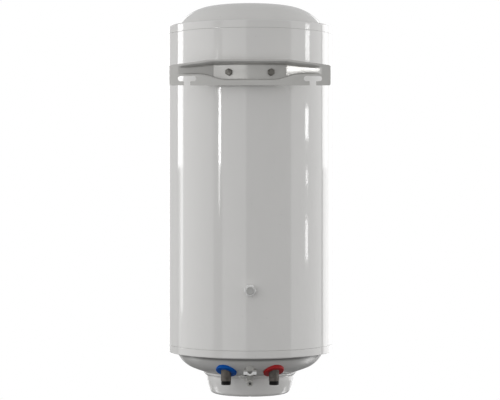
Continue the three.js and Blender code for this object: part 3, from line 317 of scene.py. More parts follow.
# %% Casing
WALL, LIP = 1.0, 0.45
casing_profile = softened([
    (casing_radius - WALL, 0, 0),
    (casing_radius - WALL, casing_bottom, 0),
    (casing_radius, casing_bottom, LIP),
    (casing_radius, casing_top, LIP),
    (casing_radius - WALL, casing_top, 0),
    (casing_radius - WALL, 0, 0),
], steps=3)[:-1]
casing = turned("casing_skin", casing_profile, sides=256)
stand_in(casing, "casing_shell")
print("casing height", round(casing_top - casing_bottom, 1), "mm")

# %% Top cap
CAP_WALL, GAP, TUCK = 1.5, 0.3, 12.0  # TUCK is how far a cap reaches into the casing
DOME_CROWN, SHOULDER_RISE = 693.6, 17.5
spigot = casing_radius - WALL - GAP
cap_inner = spigot - CAP_WALL
shoulder = casing_top + SHOULDER_RISE
crown_z = apex - DOME_CROWN
knuckle_r, knuckle_z, knuckle = 78.0, 78.5, 96.2
tangent = np.degrees(np.arctan2(knuckle_z - crown_z, knuckle_r))
foot = np.degrees(np.arcsin((shoulder + 1.2 - knuckle_z) / knuckle))
knuckle_arc = arc(knuckle_r, knuckle_z, knuckle, foot, tangent, 24)
dome = np.concatenate([knuckle_arc, arc(0, crown_z, DOME_CROWN, tangent, 90, 16)[1:]])
dome[-1, 0] = 0
dome_foot = dome[0]
top_band = softened([
    (spigot, casing_top - TUCK, 0),
    (spigot, casing_top + GAP, 0),
    (casing_radius, casing_top + GAP, LIP),
    (casing_radius, shoulder, 2.6),
    (dome_foot[0] + 1.6, shoulder, 1.8),
    tuple(dome_foot),
], steps=6)
under_dome = np.array([(0, apex - CAP_WALL), (90, 172.3), (130, 152.0), (155, 131.5)])
top_inside = np.array([(cap_inner, shoulder - CAP_WALL), (cap_inner, casing_top - TUCK)])
top_profile = np.concatenate([under_dome, top_inside, top_band, dome[1:]])
top = turned("top_cap_pressing", top_profile, 256, closed=False)
stand_in(top, "top_cap")
print("dome foot at radius", round(dome_foot[0], 1), "height", round(dome_foot[1], 1))

# %% Bottom cap
RIM_DROP, BOWL_DROP, BOWL_CROWN, SERVICE_RADIUS = 15.6, 74.1, 330.0, 70.0
rim = casing_bottom - RIM_DROP
bowl_r, bowl_z, bowl_round = 104.0, casing_bottom + 3.5, 57.0
bowl_centre = casing_bottom - BOWL_DROP + BOWL_CROWN
bowl_tangent = np.degrees(np.arctan2(bowl_z - bowl_centre, bowl_r))


def bowl_height(r):
    """Height of the bowl's outside at radius r: the lower branch of its crown circle."""
    return bowl_centre - np.sqrt(BOWL_CROWN**2 - r**2)


bowl_lip = np.degrees(-np.arccos(SERVICE_RADIUS / BOWL_CROWN))
bowl_top = np.degrees(np.arcsin((rim - 0.6 - bowl_z) / bowl_round))
bowl_arc = arc(0, bowl_centre, BOWL_CROWN, bowl_lip, bowl_tangent, 12)
bowl_side = arc(bowl_r, bowl_z, bowl_round, bowl_tangent, bowl_top, 20)
bowl = np.concatenate([bowl_arc, bowl_side[1:]])
bottom_band = softened([
    tuple(bowl[-1]),
    (bowl[-1, 0] + 0.5, rim, 0.5),
    (casing_radius, rim, 0.9),
    (casing_radius, casing_bottom - GAP, LIP),
    (spigot, casing_bottom - GAP, 0),
    (spigot, casing_bottom + TUCK, 0),
], steps=4)
bowl_inside = np.array([
    (cap_inner, casing_bottom + TUCK),
    (cap_inner, rim + CAP_WALL),
    (156.5, rim + CAP_WALL),
    (140.0, -586.0),
    (125.0, -597.9),
    (100.0, -607.4),
    (SERVICE_RADIUS, bowl_height(SERVICE_RADIUS) + CAP_WALL),
])
bottom_profile = np.concatenate([bowl, bottom_band[1:], bowl_inside])
bottom = turned("bottom_cap_pressing", bottom_profile, sides=256)
stand_in(bottom, "bottom_cap")
print("bowl reaches", round(bowl[:, 1].min(), 1), "mm; rim at", round(rim, 1))

# %% [markdown]
# ## Service cover
# The electrical parts hang under the bowl behind a moulded plastic cup. Its wall leans in, its
# lip flares out against the bowl, and the knob sits in a round recess so that nothing can knock
# it. The cup is turned, and the recess, the screw wells and the lamp hole are cut out of it.

# %% Cup
cup_floor = cover_low[2]
cup_lip = (cover_high[0] - cover_low[0]) / 2
cup_profile = np.concatenate([
    softened([
        (0, cup_floor, 0),
        (84.0, cup_floor, 11.0),
        (90.1, -638.7, 60.0),
        (93.6, -626.0, 60.0),
        (94.9, -616.4, 3.0),
        (cup_lip - 0.8, -613.0, 1.0),
        (cup_lip, -611.4, 0.8),
        (cup_lip, bowl_height(cup_lip) - GAP, 0.5),
        (92.0, bowl_height(92.0) - GAP, 0),
    ], steps=8),
    np.array([(91.8, -621.4), (90.2, -630.0), (87.4, -638.7), (84.4, -648.0)]),
    arc(76.4, cup_floor + 11, 8.5, -18, -90, 8),
    np.array([(0, cup_floor + 2.5)]),
])
cup = turned("cover_cup", cup_profile, sides=256, closed=False)
print("cup from", round(cup_floor, 1), "to", round(cup_profile[:, 1].max(), 1))


# %% Joining and cutting
def combined(piece, other, operation):
    """Join or cut two closed meshes and keep the result in the first one's mesh."""
    step = piece.modifiers.new("step", "BOOLEAN")
    step.operation = operation
    step.solver = "MANIFOLD"
    step.object = other
    graph = bpy.context.evaluated_depsgraph_get()
    done = bpy.data.meshes.new_from_object(piece.evaluated_get(graph))
    piece.modifiers.clear()
    piece.data = done
    bpy.data.objects.remove(other)
    return piece


def join(piece, other):
    """Join the second closed mesh to the first."""
    return combined(piece, other, "UNION")


def cut(piece, other):
    """Cut the second closed mesh out of the first."""
    return combined(piece, other, "DIFFERENCE")


def crisp(piece, sharp=35):
    """Smooth shading with crisp edges where faces meet at more than `sharp` degrees."""
    piece.data.shade_smooth()
    piece.data.set_sharp_from_angle(angle=np.radians(sharp))
    return piece


# %% Bars, upright and lying
def bar(radius, low, high):
    """The profile of a round bar: out from the axis at one end, along its side and back in."""
    return np.array([(0, low), (radius, low), (radius, high), (0, high)], float)


def plug(low, high, radius, centre, sides):
    """An upright round bar about the line x = cx, y = cy."""
    return mesh_from_grid("plug", turned_grid(bar(radius, low, high), sides, centre))


def lying(name, profile, height, sides, angle=0.0, **options):
    """A turned profile (radius, distance from the heater's axis) laid on its side, so that it
    points outwards from the axis at one angle and one height."""
    points = laid_radially(turned_grid(profile, sides), angle, height)
    return mesh_from_grid(name, points, **options)


# %% Recess, screw wells and lamp hole
def plan_centre(node):
    """The middle of a frame node's box seen from above, (x, y) in millimetres."""
    low, high = extent(node)
    return (low[0] + high[0]) / 2, (low[1] + high[1]) / 2


WELL_RADIUS, WELL_DEPTH, WELL_WALL = 21.5, 10.0, 2.5
POST_RADIUS, POST_TOP, POST_SHELF, POST_CLEAR = 5.5, -617.0, -621.0, -612.0
knob_low, knob_high = extent("thermostat_knob")
knob_centre = plan_centre("thermostat_knob")
well_floor = cup_floor + WELL_DEPTH
well = plug(cup_floor + 1, well_floor + WELL_WALL, WELL_RADIUS + WELL_WALL, knob_centre, 96)
join(cup, well)
screw_centres = [plan_centre(f"cover_screw_{i}") for i in (1, 2, 3)]
for centre in screw_centres:
    join(cup, plug(cup_floor + 2, POST_TOP, POST_RADIUS, centre, 48))
mouth = softened([
    (0, cup_floor - 4),
    (WELL_RADIUS + 1.6, cup_floor - 4),
    (WELL_RADIUS + 1.6, cup_floor - 0.02),
    (WELL_RADIUS, cup_floor + 1.6, 1.2),
    (WELL_RADIUS, well_floor, 1.0),
    (0, well_floor),
])
cut(cup, mesh_from_grid("mouth", turned_grid(mouth, 96, knob_centre)))
cut(cup, plug(well_floor - 1, well_floor + 5, 4.0, knob_centre, 48))
for centre in screw_centres:
    cut(cup, plug(cup_floor - 4, POST_SHELF, 4.0, centre, 40))
    cut(cup, plug(-630.0, POST_CLEAR, 2.3, centre, 32))
lamp_low, lamp_high = extent("indicator_lamp")
lamp_z = (lamp_low[2] + lamp_high[2]) / 2
lamp_r = (lamp_high[0] - lamp_low[0]) / 2
cut(cup, lying("bore", bar(lamp_r + GAP, 80, 100), lamp_z, 40, np.pi))
crisp(cup)
stand_in(cup, "service_cover")
print("cup faces after cutting:", len(cup.data.polygons))

# %% [markdown]
# ## Wall bracket
# The bracket is one strip of steel sheet. Its ears lie flat on the wall and its middle is pressed
# back into a dish that wraps the casing. A dish like this could be modelled by bending a plane by
# hand; here every upright section is worked out from its position x, so the bends stay true.

# %% Dish shape
SHEET, BEND = 2.5, 4.0
HEAD_ROUND, HEAD_LEVEL, TOE_ROUND = 5, 30.3, 3
bracket_low, bracket_high = extent("wall_bracket")
ear_end, ear_start, fold, wrap_end = bracket_high[0], 145.0, 75.0, 50.0
band_foot = bracket_low[2]
dish_upper = np.array([(0, 38.9), (75, 38.9), (98, 35.2), (122, 32.4), (147, 29.5), (170, 27.0)])
dish_lower_x = [0, 48, 54, 60, 66, 72, 80, 88, 95, 102, 110, 170]
dish_lower_z = [6.5, 6.5, 6.9, 7.9, 9.4, 11.3, 13.9, 16.0, 17.4, 18.1, 18.2, 18.2]
top_edge_x = [0, 68, 74, 80, 86, ear_end - HEAD_ROUND]
top_edge_z = [46.6, 46.6, 46.5, 46.2, 45.6, 35.3]


def dish_depth(at):
    """How far the dish's sheet stands behind the ears at distance `at` from the middle, and how
    much it leans there. In the middle it follows a circle round the casing and leaves it in a
    straight line; beyond the fold it comes forward in a straight line to the ear."""
    reach = casing_radius + GAP
    inside = np.minimum(at, wrap_end)
    lean = reach / np.sqrt(reach**2 - inside**2)
    straight = inside / (reach / lean) * (np.minimum(at, fold) - inside)
    depth = axis_y - reach / lean + straight - SHEET / 2 * lean - SHEET / 2
    left = np.clip((ear_start - at) / (ear_start - fold), 0, 1)
    full = np.hypot(1, depth / (ear_start - fold))
    beyond = at > fold
    return np.where(beyond, depth * left, depth), np.where(beyond, full, lean)


def bracket_sheet(stations):
    """Front and back points of the sheet for every x: each section is a strip, a bend back, the
    dish, a bend forward and a strip, with half a sheet's thickness laid off along its normal."""
    at = np.abs(stations)
    depth, lean = dish_depth(at)
    squash = np.minimum(1, depth / (2 * BEND))
    upper = np.interp(at, dish_upper[:, 0], dish_upper[:, 1]) + SHEET / 2
    lower = np.interp(at, dish_lower_x, dish_lower_z) - SHEET / 2
    corner = np.clip(at - (ear_end - HEAD_ROUND), 0, HEAD_ROUND)
    rounded = HEAD_LEVEL + np.sqrt(np.maximum(HEAD_ROUND**2 - corner**2, 0))
    head = np.where(corner > 0, rounded, np.interp(at, top_edge_x, top_edge_z))
    toe = np.clip(at - (ear_end - TOE_ROUND), 0, TOE_ROUND)
    tail = band_foot + TOE_ROUND - np.sqrt(np.maximum(TOE_ROUND**2 - toe**2, 0))
    leaving = np.radians(np.linspace(0, 82, 8))
    arriving = np.radians(np.linspace(8, 90, 8))
    middle = SHEET / 2
    one, none = np.ones_like(at), np.zeros_like(at)
    strip_high, strip_low = np.minimum(upper + BEND, head - 0.6), lower - BEND
    rows = [(middle * one, head + (strip_high - head) * share, -one, none) for share in (0, 0.5)]
    for edge, start, stop, way in ((upper, 0, depth, 1), (lower, depth, 0, -1)):
        for a in leaving:
            c, s = np.cos(a), np.sin(a)
            y = middle + start + way * squash * BEND * (1 - c)
            rows.append((y, edge + BEND * (1 - s), -c * one, -way * squash * s))
        for a in arriving:
            c, s = np.cos(a), np.sin(a)
            y = middle + stop - way * squash * BEND * (1 - s)
            rows.append((y, edge - BEND * (1 - c), -s * one, -way * squash * c))
    for share in (0.5, 1):
        rows.append((middle * one, strip_low + (tail - strip_low) * share, -one, none))
    y, z, ny, nz = (np.stack([r[k] for r in rows], 1) for k in range(4))
    size = np.hypot(ny, nz)
    share = np.where(depth[:, None] > 1e-6, (y - middle) / np.maximum(depth[:, None], 1e-6), 0)
    stretch = 1 + (lean[:, None] - 1) * share
    x = np.broadcast_to(stations[:, None], y.shape)
    front, back = [
        np.stack([x, y + s * SHEET / 2 * ny / size * stretch, z + s * SHEET / 2 * nz / size], -1)
        for s in (1, -1)
    ]
    return np.concatenate([front, back[:, ::-1]], 1)


ear_corner = np.sin(np.radians(np.linspace(0, 89, 9)))[1:]
half = np.concatenate([
    np.linspace(0, fold, 31),
    np.linspace(fold, ear_start, 25)[1:],
    np.linspace(ear_start, ear_end - HEAD_ROUND, 7)[1:],
    ear_end - HEAD_ROUND + HEAD_ROUND * ear_corner,
])
stations = np.concatenate([-half[:0:-1], half])
bracket = mesh_from_grid("bracket_pressing", bracket_sheet(stations), wrap_u=False, wrap_v=True)
print("dish depth in the middle", round(float(dish_depth(np.array([0.0]))[0][0]), 1), "mm")


# %% Slabs
def carried(outline, low, high, round_low, round_high, steps):
    """A closed outline carried from level low to level high. A rounded end pulls the outline in
    along its normals by r (1 - sin a) while the level moves by r (1 - cos a). Gives the points
    of every ring and their level."""
    edge = np.roll(outline, -1, 0) - np.roll(outline, 1, 0)
    normal = np.stack([edge[:, 1], -edge[:, 0]], 1)
    normal /= np.maximum(np.hypot(normal[:, 0], normal[:, 1])[:, None], 1e-9)
    after = np.roll(outline, -1, 0)
    normal *= np.sign((outline[:, 0] * after[:, 1] - after[:, 0] * outline[:, 1]).sum())
    a = np.radians(np.linspace(0, 90, steps + 1))
    rise, pull = 1 - np.cos(a), 1 - np.sin(a)
    start = np.stack([low + round_low * rise, round_low * pull], 1)
    stop = np.stack([high - round_high * rise, round_high * pull], 1)[::-1]
    rings = np.concatenate([start, stop])
    rings = rings[np.append(True, np.abs(np.diff(rings, axis=0)).sum(1) > 1e-9)]
    points = outline[:, None, :] - normal[:, None, :] * rings[None, :, 1, None]
    return points, np.broadcast_to(rings[None, :, 0], points.shape[:2])


def slab(name, outline, low, high, round_low=0.0, round_high=0.0, steps=4):
    """A plan outline (x, y) carried upwards."""
    points, z = carried(outline, low, high, round_low, round_high, steps)
    return mesh_from_grid(name, np.concatenate([points, z[..., None]], -1), sharp=40)


def outline_slab(name, outline, near, far, round_edge=0.0):
    """An upright outline (x, z) carried away from the wall side, along Y."""
    points, y = carried(outline, near, far, round_edge, round_edge, 3)
    return mesh_from_grid(name, np.stack([points[..., 0], y, points[..., 1]], -1))


def box_outline(half, low, high):
    """The corners of a box that reaches `half` to either side."""
    return np.array([(-half, low), (half, low), (half, high), (-half, high)], float)


def rounded_box(half, low, high, radius):
    """The same with rounded corners: it starts and ends in the middle of its last side, so that
    every corner has a side before and after it."""
    middle = (-half, (low + high) / 2)
    corners = [(x, y, radius) for x, y in box_outline(half, low, high)]
    return softened([middle, *corners, middle])[:-1]


# %% Key slots
slot_x, slot_low, slot_high, slot_half, entry = 128.4, 2.0, 12.8, 18.75, 6.6
key_slot = softened([
    (-entry, band_foot - 4),
    (-entry, slot_low, 1.0),
    (-slot_half, slot_low, 5.35),
    (-slot_half, slot_high, 5.35),
    (slot_half, slot_high, 5.35),
    (slot_half, slot_low, 5.35),
    (entry, slot_low, 1.0),
    (entry, band_foot - 4),
], steps=8)
for side in (-1, 1):
    cutter = outline_slab("key_slot", key_slot + [side * slot_x, 0], -3, 8)
    cut(bracket, cutter)
crisp(bracket, 30)
stand_in(bracket, "wall_bracket")
print("bracket faces:", len(bracket.data.polygons))

# %% [markdown]
# ## Hexagon bolts and the wall spacer
# A bolt head is a hexagon whose corners are turned away by a cone. Taking the smaller of the
# hexagon's radius and the cone's radius at every angle and height gives exactly that shape.

# %% Hexagon head
HEX_CONE = np.radians(30)


def hexagon_radius(angle, flats, corner_at):
    """Distance from the middle to a hexagon's side: half the flats over cos of the angle from
    the middle of the nearest side."""
    sector = np.pi / 3
    return flats / 2 / np.cos(np.mod(angle - corner_at, sector) - sector / 2)


def hexagon_head(flats, shank, tip, seat, height, corner_at=0.0, lead=0.94, dish=0.0):
    """Points of a hexagon screw along +Z: shank from tip to seat, then the head. The head's top
    is limited by a 30 degree cone that starts at `lead` times half the flats."""
    a = turns(120)
    hexagon = hexagon_radius(a, flats, corner_at)
    flat_top = lead * flats / 2
    drop = (flats / np.sqrt(3) - flat_top) * np.tan(HEX_CONE)
    cone_z = np.linspace(drop, 0, 6)
    cone_r = flat_top + cone_z / np.tan(HEX_CONE)
    top = seat + height
    z = np.concatenate([[tip, tip, tip + 1, seat, seat], top - cone_z, [top - dish, top - dish]])
    cone = np.concatenate([[0, shank - 0.8, shank, shank, 99], cone_r, [flat_top - 1.5 * dish, 0]])
    r = np.minimum(hexagon, cone[None, :])
    return np.stack([r * np.cos(a), r * np.sin(a), z[None, :] + 0 * a], -1)


# %% Bolts
BOLT_FLATS, BOLT_HEAD, BOLT_SHANK, BOLT_TIP, BOLT_ACROSS = 13, 5.3, 3.7, 157, 43.5
HOLE_RADIUS, HOLE_START, HOLE_END = 4.3, 150, 190


def drill_casing(angle, height):
    """A round hole through the casing's wall."""
    hole = lying("hole", bar(HOLE_RADIUS, HOLE_START, HOLE_END), height, 40, angle)
    cut(casing, hole)


bolt_low, bolt_high = extent("bracket_bolt_right")
bolt_z = (bolt_low[2] + bolt_high[2]) / 2
bolt_angle = np.arcsin(BOLT_ACROSS / (casing_radius + SHEET + BOLT_HEAD / 2))
bolt_seat = casing_radius + SHEET + 3 * GAP
bolt_points = hexagon_head(
    BOLT_FLATS, BOLT_SHANK, BOLT_TIP, bolt_seat, BOLT_HEAD, corner_at=np.pi / 2, dish=0.25
)
for side, name in ((-1, "left"), (1, "right")):
    points = laid_radially(bolt_points, side * bolt_angle, bolt_z)
    bolt = mesh_from_grid(f"hook_bolt_{name}", points, sharp=25)
    stand_in(bolt, f"bracket_bolt_{name}")
    drill_casing(side * bolt_angle, bolt_z)
print("bolt heads at height", round(bolt_z, 1), "mm")

# %% Spacer
spacer_low, spacer_high = extent("spacer_screw")
spacer_z = (spacer_low[2] + spacer_high[2]) / 2
SPACER_FLATS, PAD_RADIUS = 22, 8.0
hex_far, hex_near = spacer_low[1], 15.0
tip, seat = axis_y - spacer_high[1], axis_y - hex_near
points = hexagon_head(
    SPACER_FLATS, BOLT_SHANK, tip, seat, hex_near - hex_far, lead=0.97, dish=0.6
)
spacer = mesh_from_grid("spacer_hexagon", laid_radially(points, 0, spacer_z), sharp=25)
stand_in(spacer, "spacer_screw", body="spacer")
pad_face = axis_y
pad_back = axis_y - hex_far + 0.3
pad_profile = softened([
    (0, pad_back - 3.6),
    (3.0, pad_back - 3.6),
    (3.0, pad_back, 0.4),
    (PAD_RADIUS, pad_back, 0.8),
    (PAD_RADIUS, pad_face, 1.3),
    (6.2, pad_face, 0.3),
    (5.9, pad_face - 0.45, 0.3),
    (0, pad_face - 0.45),
], steps=4)
pad = lying("spacer_tip", pad_profile, spacer_z, 96)
stand_in(pad, "spacer_pad", body="spacer")
drill_casing(0, spacer_z)
crisp(casing)
print("spacer at height", round(spacer_z, 1), "mm")

# %% [markdown]
# ## Water connections
# Each pipe is a steel nipple whose last millimetres carry a pipe thread, with a plastic liner in
# its bore. The thread is cut by letting the radius swing with height and with the turn, so the
# ridge climbs one pitch for each turn round the pipe.

# %% Pipes
PITCH, THREAD, RIDGE, PIPE_SIDES = 1.814, 8.0, 0.55, 120
THREAD_SINK, THREAD_FADE = 0.32, 0.8  # how far the ridge lies under the pipe's skin, and its end
MOUTH_BEVEL, MOUTH_RISE = 0.5, 1.2
pipe_low, pipe_high = extent("cold_inlet_pipe")
pipe_x, pipe_y = plan_centre("cold_inlet_pipe")
pipe_x = -pipe_x
pipe_r, pipe_end, pipe_top = (pipe_high[0] - pipe_low[0]) / 2, pipe_low[2], pipe_high[2]


def threaded_pipe(name, x):
    """A pipe profile turned about (x, pipe_y). Within the thread the radius is lowered by
    THREAD_SINK + RIDGE (1 - w), where w is a wave between 0 and 1 in (height / pitch - turns),
    sharpened towards a ridge. This fades out over the thread's last THREAD_FADE, and at the
    mouth the radius is smaller by MOUTH_BEVEL, which is gained back over MOUTH_RISE."""
    thread_z = np.arange(pipe_end + 1.0, pipe_end + THREAD + 1.6, 0.12)
    outer_z = np.concatenate([[pipe_end + 0.8], thread_z, [pipe_top]])
    profile = np.concatenate([
        [(8.0, pipe_top), (8.0, pipe_end + 0.5), (8.4, pipe_end), (9.5, pipe_end)],
        np.stack([np.full_like(outer_z, pipe_r), outer_z], 1),
    ])
    grid = turned_grid(profile, PIPE_SIDES, (x, pipe_y))
    a = turns(PIPE_SIDES)
    radius, z = profile[None, :, 0], profile[None, :, 1]
    outside = radius > 10
    wave = 0.5 + 0.5 * np.cos(2 * np.pi * ((z - pipe_end) / PITCH) - a)
    wave = np.clip(1.35 * wave - 0.12, 0, 1)
    share = np.clip((pipe_end + THREAD + 1.0 - z) / THREAD_FADE, 0, 1)
    lowered = outside * share * (RIDGE * (1 - wave) + THREAD_SINK)
    start = np.clip((z - pipe_end) / MOUTH_RISE, 0, 1)
    r = radius - lowered - outside * MOUTH_BEVEL * (1 - start)
    grid[..., 0] = x + r * np.cos(a)
    grid[..., 1] = pipe_y + r * np.sin(a)
    return mesh_from_grid(name, grid, wrap_v=True, sharp=50)


for side, name in ((-1, "cold_inlet"), (1, "hot_outlet")):
    stand_in(threaded_pipe(f"{name}_nipple", side * pipe_x), f"{name}_pipe")
    low, high = extent(f"{name}_liner")
    liner = [(6.5, high[2]), (6.5, low[2], 0.5), (7.7, low[2], 0.5), (7.7, high[2])]
    centre = (side * pipe_x, pipe_y)
    sleeve = turned(f"{name}_sleeve", softened(liner, steps=3), 64, centre)
    stand_in(sleeve, f"{name}_liner")
print("pipes at x = +/-", round(pipe_x, 2), "y =", round(pipe_y, 2), "end", round(pipe_end, 1))

# %% [markdown]
# ## Coloured rings
# A soft collar sits round each pipe against the bowl. It is turned flat, tilted until it is
# square to the bowl, and then cut by the bowl's own curve and by an upright bore for the pipe.

# %% Rings
pipe_reach = np.hypot(pipe_x, axis_y - pipe_y)
ring_tilt = np.arcsin((pipe_reach - bowl_r) / bowl_round)
ring_bearing = np.arcsin(pipe_x / pipe_reach)
ring_level = bowl_z - np.sqrt(bowl_round**2 - (pipe_reach - bowl_r) ** 2)
RING_RADIUS, RING_THICK, RING_BORE = 22.0, 5.0, 11.0
BELOW_BOWL, ABOVE_BOWL = -660, -540


def bowl_block():
    """A solid filling the bowl, grown by the seating gap: the curve (r, z) is moved out along its
    normal by the gap, then closed above."""
    grown = np.concatenate([
        arc(0, bowl_centre, BOWL_CROWN + GAP, -90, bowl_tangent, 24),
        arc(bowl_r, bowl_z, bowl_round + GAP, bowl_tangent, -3, 30)[1:],
        [(0, bowl_z - 1)],
    ])
    grown[0, 0] = 0
    return turned("bowl_block", grown, 256, closed=False)


def collar(name, side):
    """The flat ring's points turned by the bowl's tilt about X, set towards the heater's axis so
    that the outer face centres on the pipe, then turned by the bearing about Z."""
    flat = [(0, -RING_THICK), (RING_RADIUS, -RING_THICK, 2.2), (RING_RADIUS, 6, 0), (0, 6)]
    points = turned_grid(softened(flat, steps=8), 128)
    x, y, z = points[..., 0], points[..., 1], points[..., 2]
    c, s = np.cos(-ring_tilt), np.sin(-ring_tilt)
    y, z = y * c - z * s + RING_THICK * np.sin(ring_tilt), y * s + z * c
    c, s = np.cos(side * ring_bearing), np.sin(side * ring_bearing)
    x, y = x * c - y * s, x * s + y * c
    points = np.stack([x + side * pipe_x, y + pipe_y, z + ring_level], -1)
    ring = cut(mesh_from_grid(name, points), bowl_block())
    bore = plug(BELOW_BOWL, ABOVE_BOWL, RING_BORE, (side * pipe_x, pipe_y), 96)
    return crisp(cut(ring, bore))


stand_in(collar("cold_collar", -1), "cold_ring")
stand_in(collar("hot_collar", 1), "hot_ring")
tilt, level = float(np.degrees(ring_tilt)), float(ring_level)
print("rings tilted", round(tilt, 1), "degrees at", round(level, 1))

# %% [markdown]
# ## Cable entry
# Between the pipes a small boss stands under the bowl. A saddle clamp is screwed to it, and behind
# that a soft elbow lets the mains cable through the bowl; a strap with an eye hangs on the elbow.

# %% Boss
ENTRY_HALF, ENTRY_BACK, BOSS_TOP, SCREW_BORE = 10.3, 69.9, -572.0, 1.8
boss_low = extent("cable_entry_boss")[0]
clamp_low, clamp_high = extent("cable_clamp")
clamp_half = clamp_high[0]
clamp_screws = [plan_centre(f"clamp_screw_{i}") for i in (1, 2)]
nose = arc(0, boss_low[1] + ENTRY_HALF, ENTRY_HALF, 180, 360, 32)
front = np.concatenate([[(-ENTRY_HALF, ENTRY_BACK)], nose, [(ENTRY_HALF, ENTRY_BACK)]])
boss = slab("entry_boss", front, boss_low[2], BOSS_TOP, round_low=2.2, steps=8)
foot = rounded_box(clamp_half, clamp_low[1], clamp_high[1], 1.5)
join(boss, slab("boss_foot", foot, boss_low[2], boss_low[2] + 3.3, 0.3, 0.6))
cut(boss, bowl_block())
for centre in clamp_screws:
    cut(boss, plug(-600, clamp_high[2] + 4.4, SCREW_BORE, centre, 24))
stand_in(crisp(boss), "cable_entry_boss")
print("boss from", round(boss_low[2], 1))

# %% Clamp
CLAMP_BORE, BAND = 4.9, 8.1
cable_z, ear_low = clamp_high[2] - 0.2, clamp_high[2] - 6.7
near_d, far_d = axis_y - clamp_low[1], axis_y - clamp_high[1]
ears = rounded_box(clamp_half, ear_low, clamp_high[2] + 2, 1.0)
clamp = outline_slab("saddle_clamp", ears, clamp_low[1], clamp_high[1], 0.6)
band = softened([(0, far_d), (BAND, far_d, 0.6), (BAND, near_d, 0.6), (0, near_d)])
join(clamp, lying("band", band, cable_z, 96))
lid = slab("lid", box_outline(20.0, 45.0, 65.0), clamp_high[2], clamp_high[2] + 12)
cut(clamp, lid)
bore = softened([
    (0, far_d - 2),
    (CLAMP_BORE + 1.2, far_d - 2),
    (CLAMP_BORE, far_d + 0.6, 0.8),
    (CLAMP_BORE, near_d - 0.6, 0.8),
    (CLAMP_BORE + 1.2, near_d + 2),
    (0, near_d + 2),
])
cut(clamp, lying("bore", bore, cable_z, 96))
for centre in clamp_screws:
    cut(clamp, plug(-612, -590, SCREW_BORE, centre, 24))
stand_in(crisp(clamp, 28), "cable_clamp")
print("clamp hangs to", round(cable_z - BAND, 1), "mm")


# %% Screws with a cross recess
HEAD_HIGH, CROSS_DEPTH = 2.6, 1.35


def cross_screw(name, node, head, shank, slot):
    """A pan-head screw standing up from its head: a rounded head, a plain shank with fine thread
    grooves above it, and a cross cut into the head. It fills the height of its frame node."""
    low, high = extent(node)
    under, tip, centre = low[2] + HEAD_HIGH, high[2], plan_centre(node)
    z = np.arange(under + 1.6, tip - 1.2, 0.14)
    groove = shank - 0.16 * (0.5 + 0.5 * np.cos(2 * np.pi * z / 0.8))
    pan = softened([
        (0, under - HEAD_HIGH),
        (head * 0.62, under - HEAD_HIGH, 1.0),
        (head, under - HEAD_HIGH * 0.45, 0.8),
        (head, under, 0.2),
        (shank, under),
    ])
    profile = np.concatenate([pan, np.stack([groove, z], 1), [(shank * 0.6, tip - 0.5), (0, tip)]])
    body = turned(name, profile, 48, centre, closed=False)
    for w, d in ((slot, head * 0.56), (head * 0.56, slot)):
        outline = box_outline(w, -d, d) + centre
        face = under - HEAD_HIGH
        cut(body, slab("cross", outline, face - 1, face + CROSS_DEPTH))
    stand_in(crisp(body, 30), node)


for i in (1, 2, 3):
    cross_screw(f"cover_pan_screw_{i}", f"cover_screw_{i}", 3.6, 1.9, 0.45)
for i in (1, 2):
    cross_screw(f"clamp_pan_screw_{i}", f"clamp_screw_{i}", 3.0, 1.5, 0.4)
print("screws done")

# %% [markdown]
# ## Elbow sleeve and strap
# The sleeve is a rubber elbow: a cone under the bowl, a round turn and a short mouth towards the
# wall. The strap is a ring round that mouth with a small eye on an arm, where a tie can be put.

# %% Sleeve
sleeve_low, sleeve_high = extent("cable_sleeve")
SLEEVE_ROOT, SLEEVE_TIP, SLEEVE_BORE = 7.8, 4.9, 2.7
NECK_FOOT, NECK_TOP = -607.0, -596.0
sleeve_y = sleeve_high[1] - SLEEVE_ROOT
turn_z = sleeve_low[2] + SLEEVE_TIP
neck = softened([
    (0, turn_z),
    (SLEEVE_TIP, turn_z, 0),
    (SLEEVE_ROOT, NECK_FOOT, 3.0),
    (SLEEVE_ROOT, NECK_TOP, 0),
    (0, NECK_TOP),
], steps=8)
sleeve = turned("elbow_sleeve", neck, 96, (0, sleeve_y), closed=False)
cut(sleeve, bowl_block())
join(sleeve, plug(-606, sleeve_high[2], 5.0, (0, sleeve_y), 48))
ball = arc(0, turn_z, SLEEVE_TIP, -90, 90, 24)
ball[[0, -1], 0] = 0
join(sleeve, turned("ball", ball, 64, (0, sleeve_y), closed=False))
elbow_at, mouth_at = axis_y - sleeve_y, axis_y - sleeve_low[1]
stub = softened(
    [(0, elbow_at), (SLEEVE_TIP, elbow_at), (SLEEVE_TIP, mouth_at, 0.7), (0, mouth_at)]
)
join(sleeve, lying("stub", stub, turn_z, 64))
cut(sleeve, plug(turn_z, -585, SLEEVE_BORE, (0, sleeve_y), 40))
hole = softened([
    (0, elbow_at - 1),
    (SLEEVE_BORE, elbow_at - 1),
    (SLEEVE_BORE, mouth_at - 0.5, 0.6),
    (SLEEVE_BORE + 0.5, mouth_at + 1),
    (0, mouth_at + 1),
])
cut(sleeve, lying("hole", hole, turn_z, 48))
stand_in(crisp(sleeve, 30), "cable_sleeve")
print("sleeve mouth looks at the wall from y =", round(sleeve_low[1], 1))


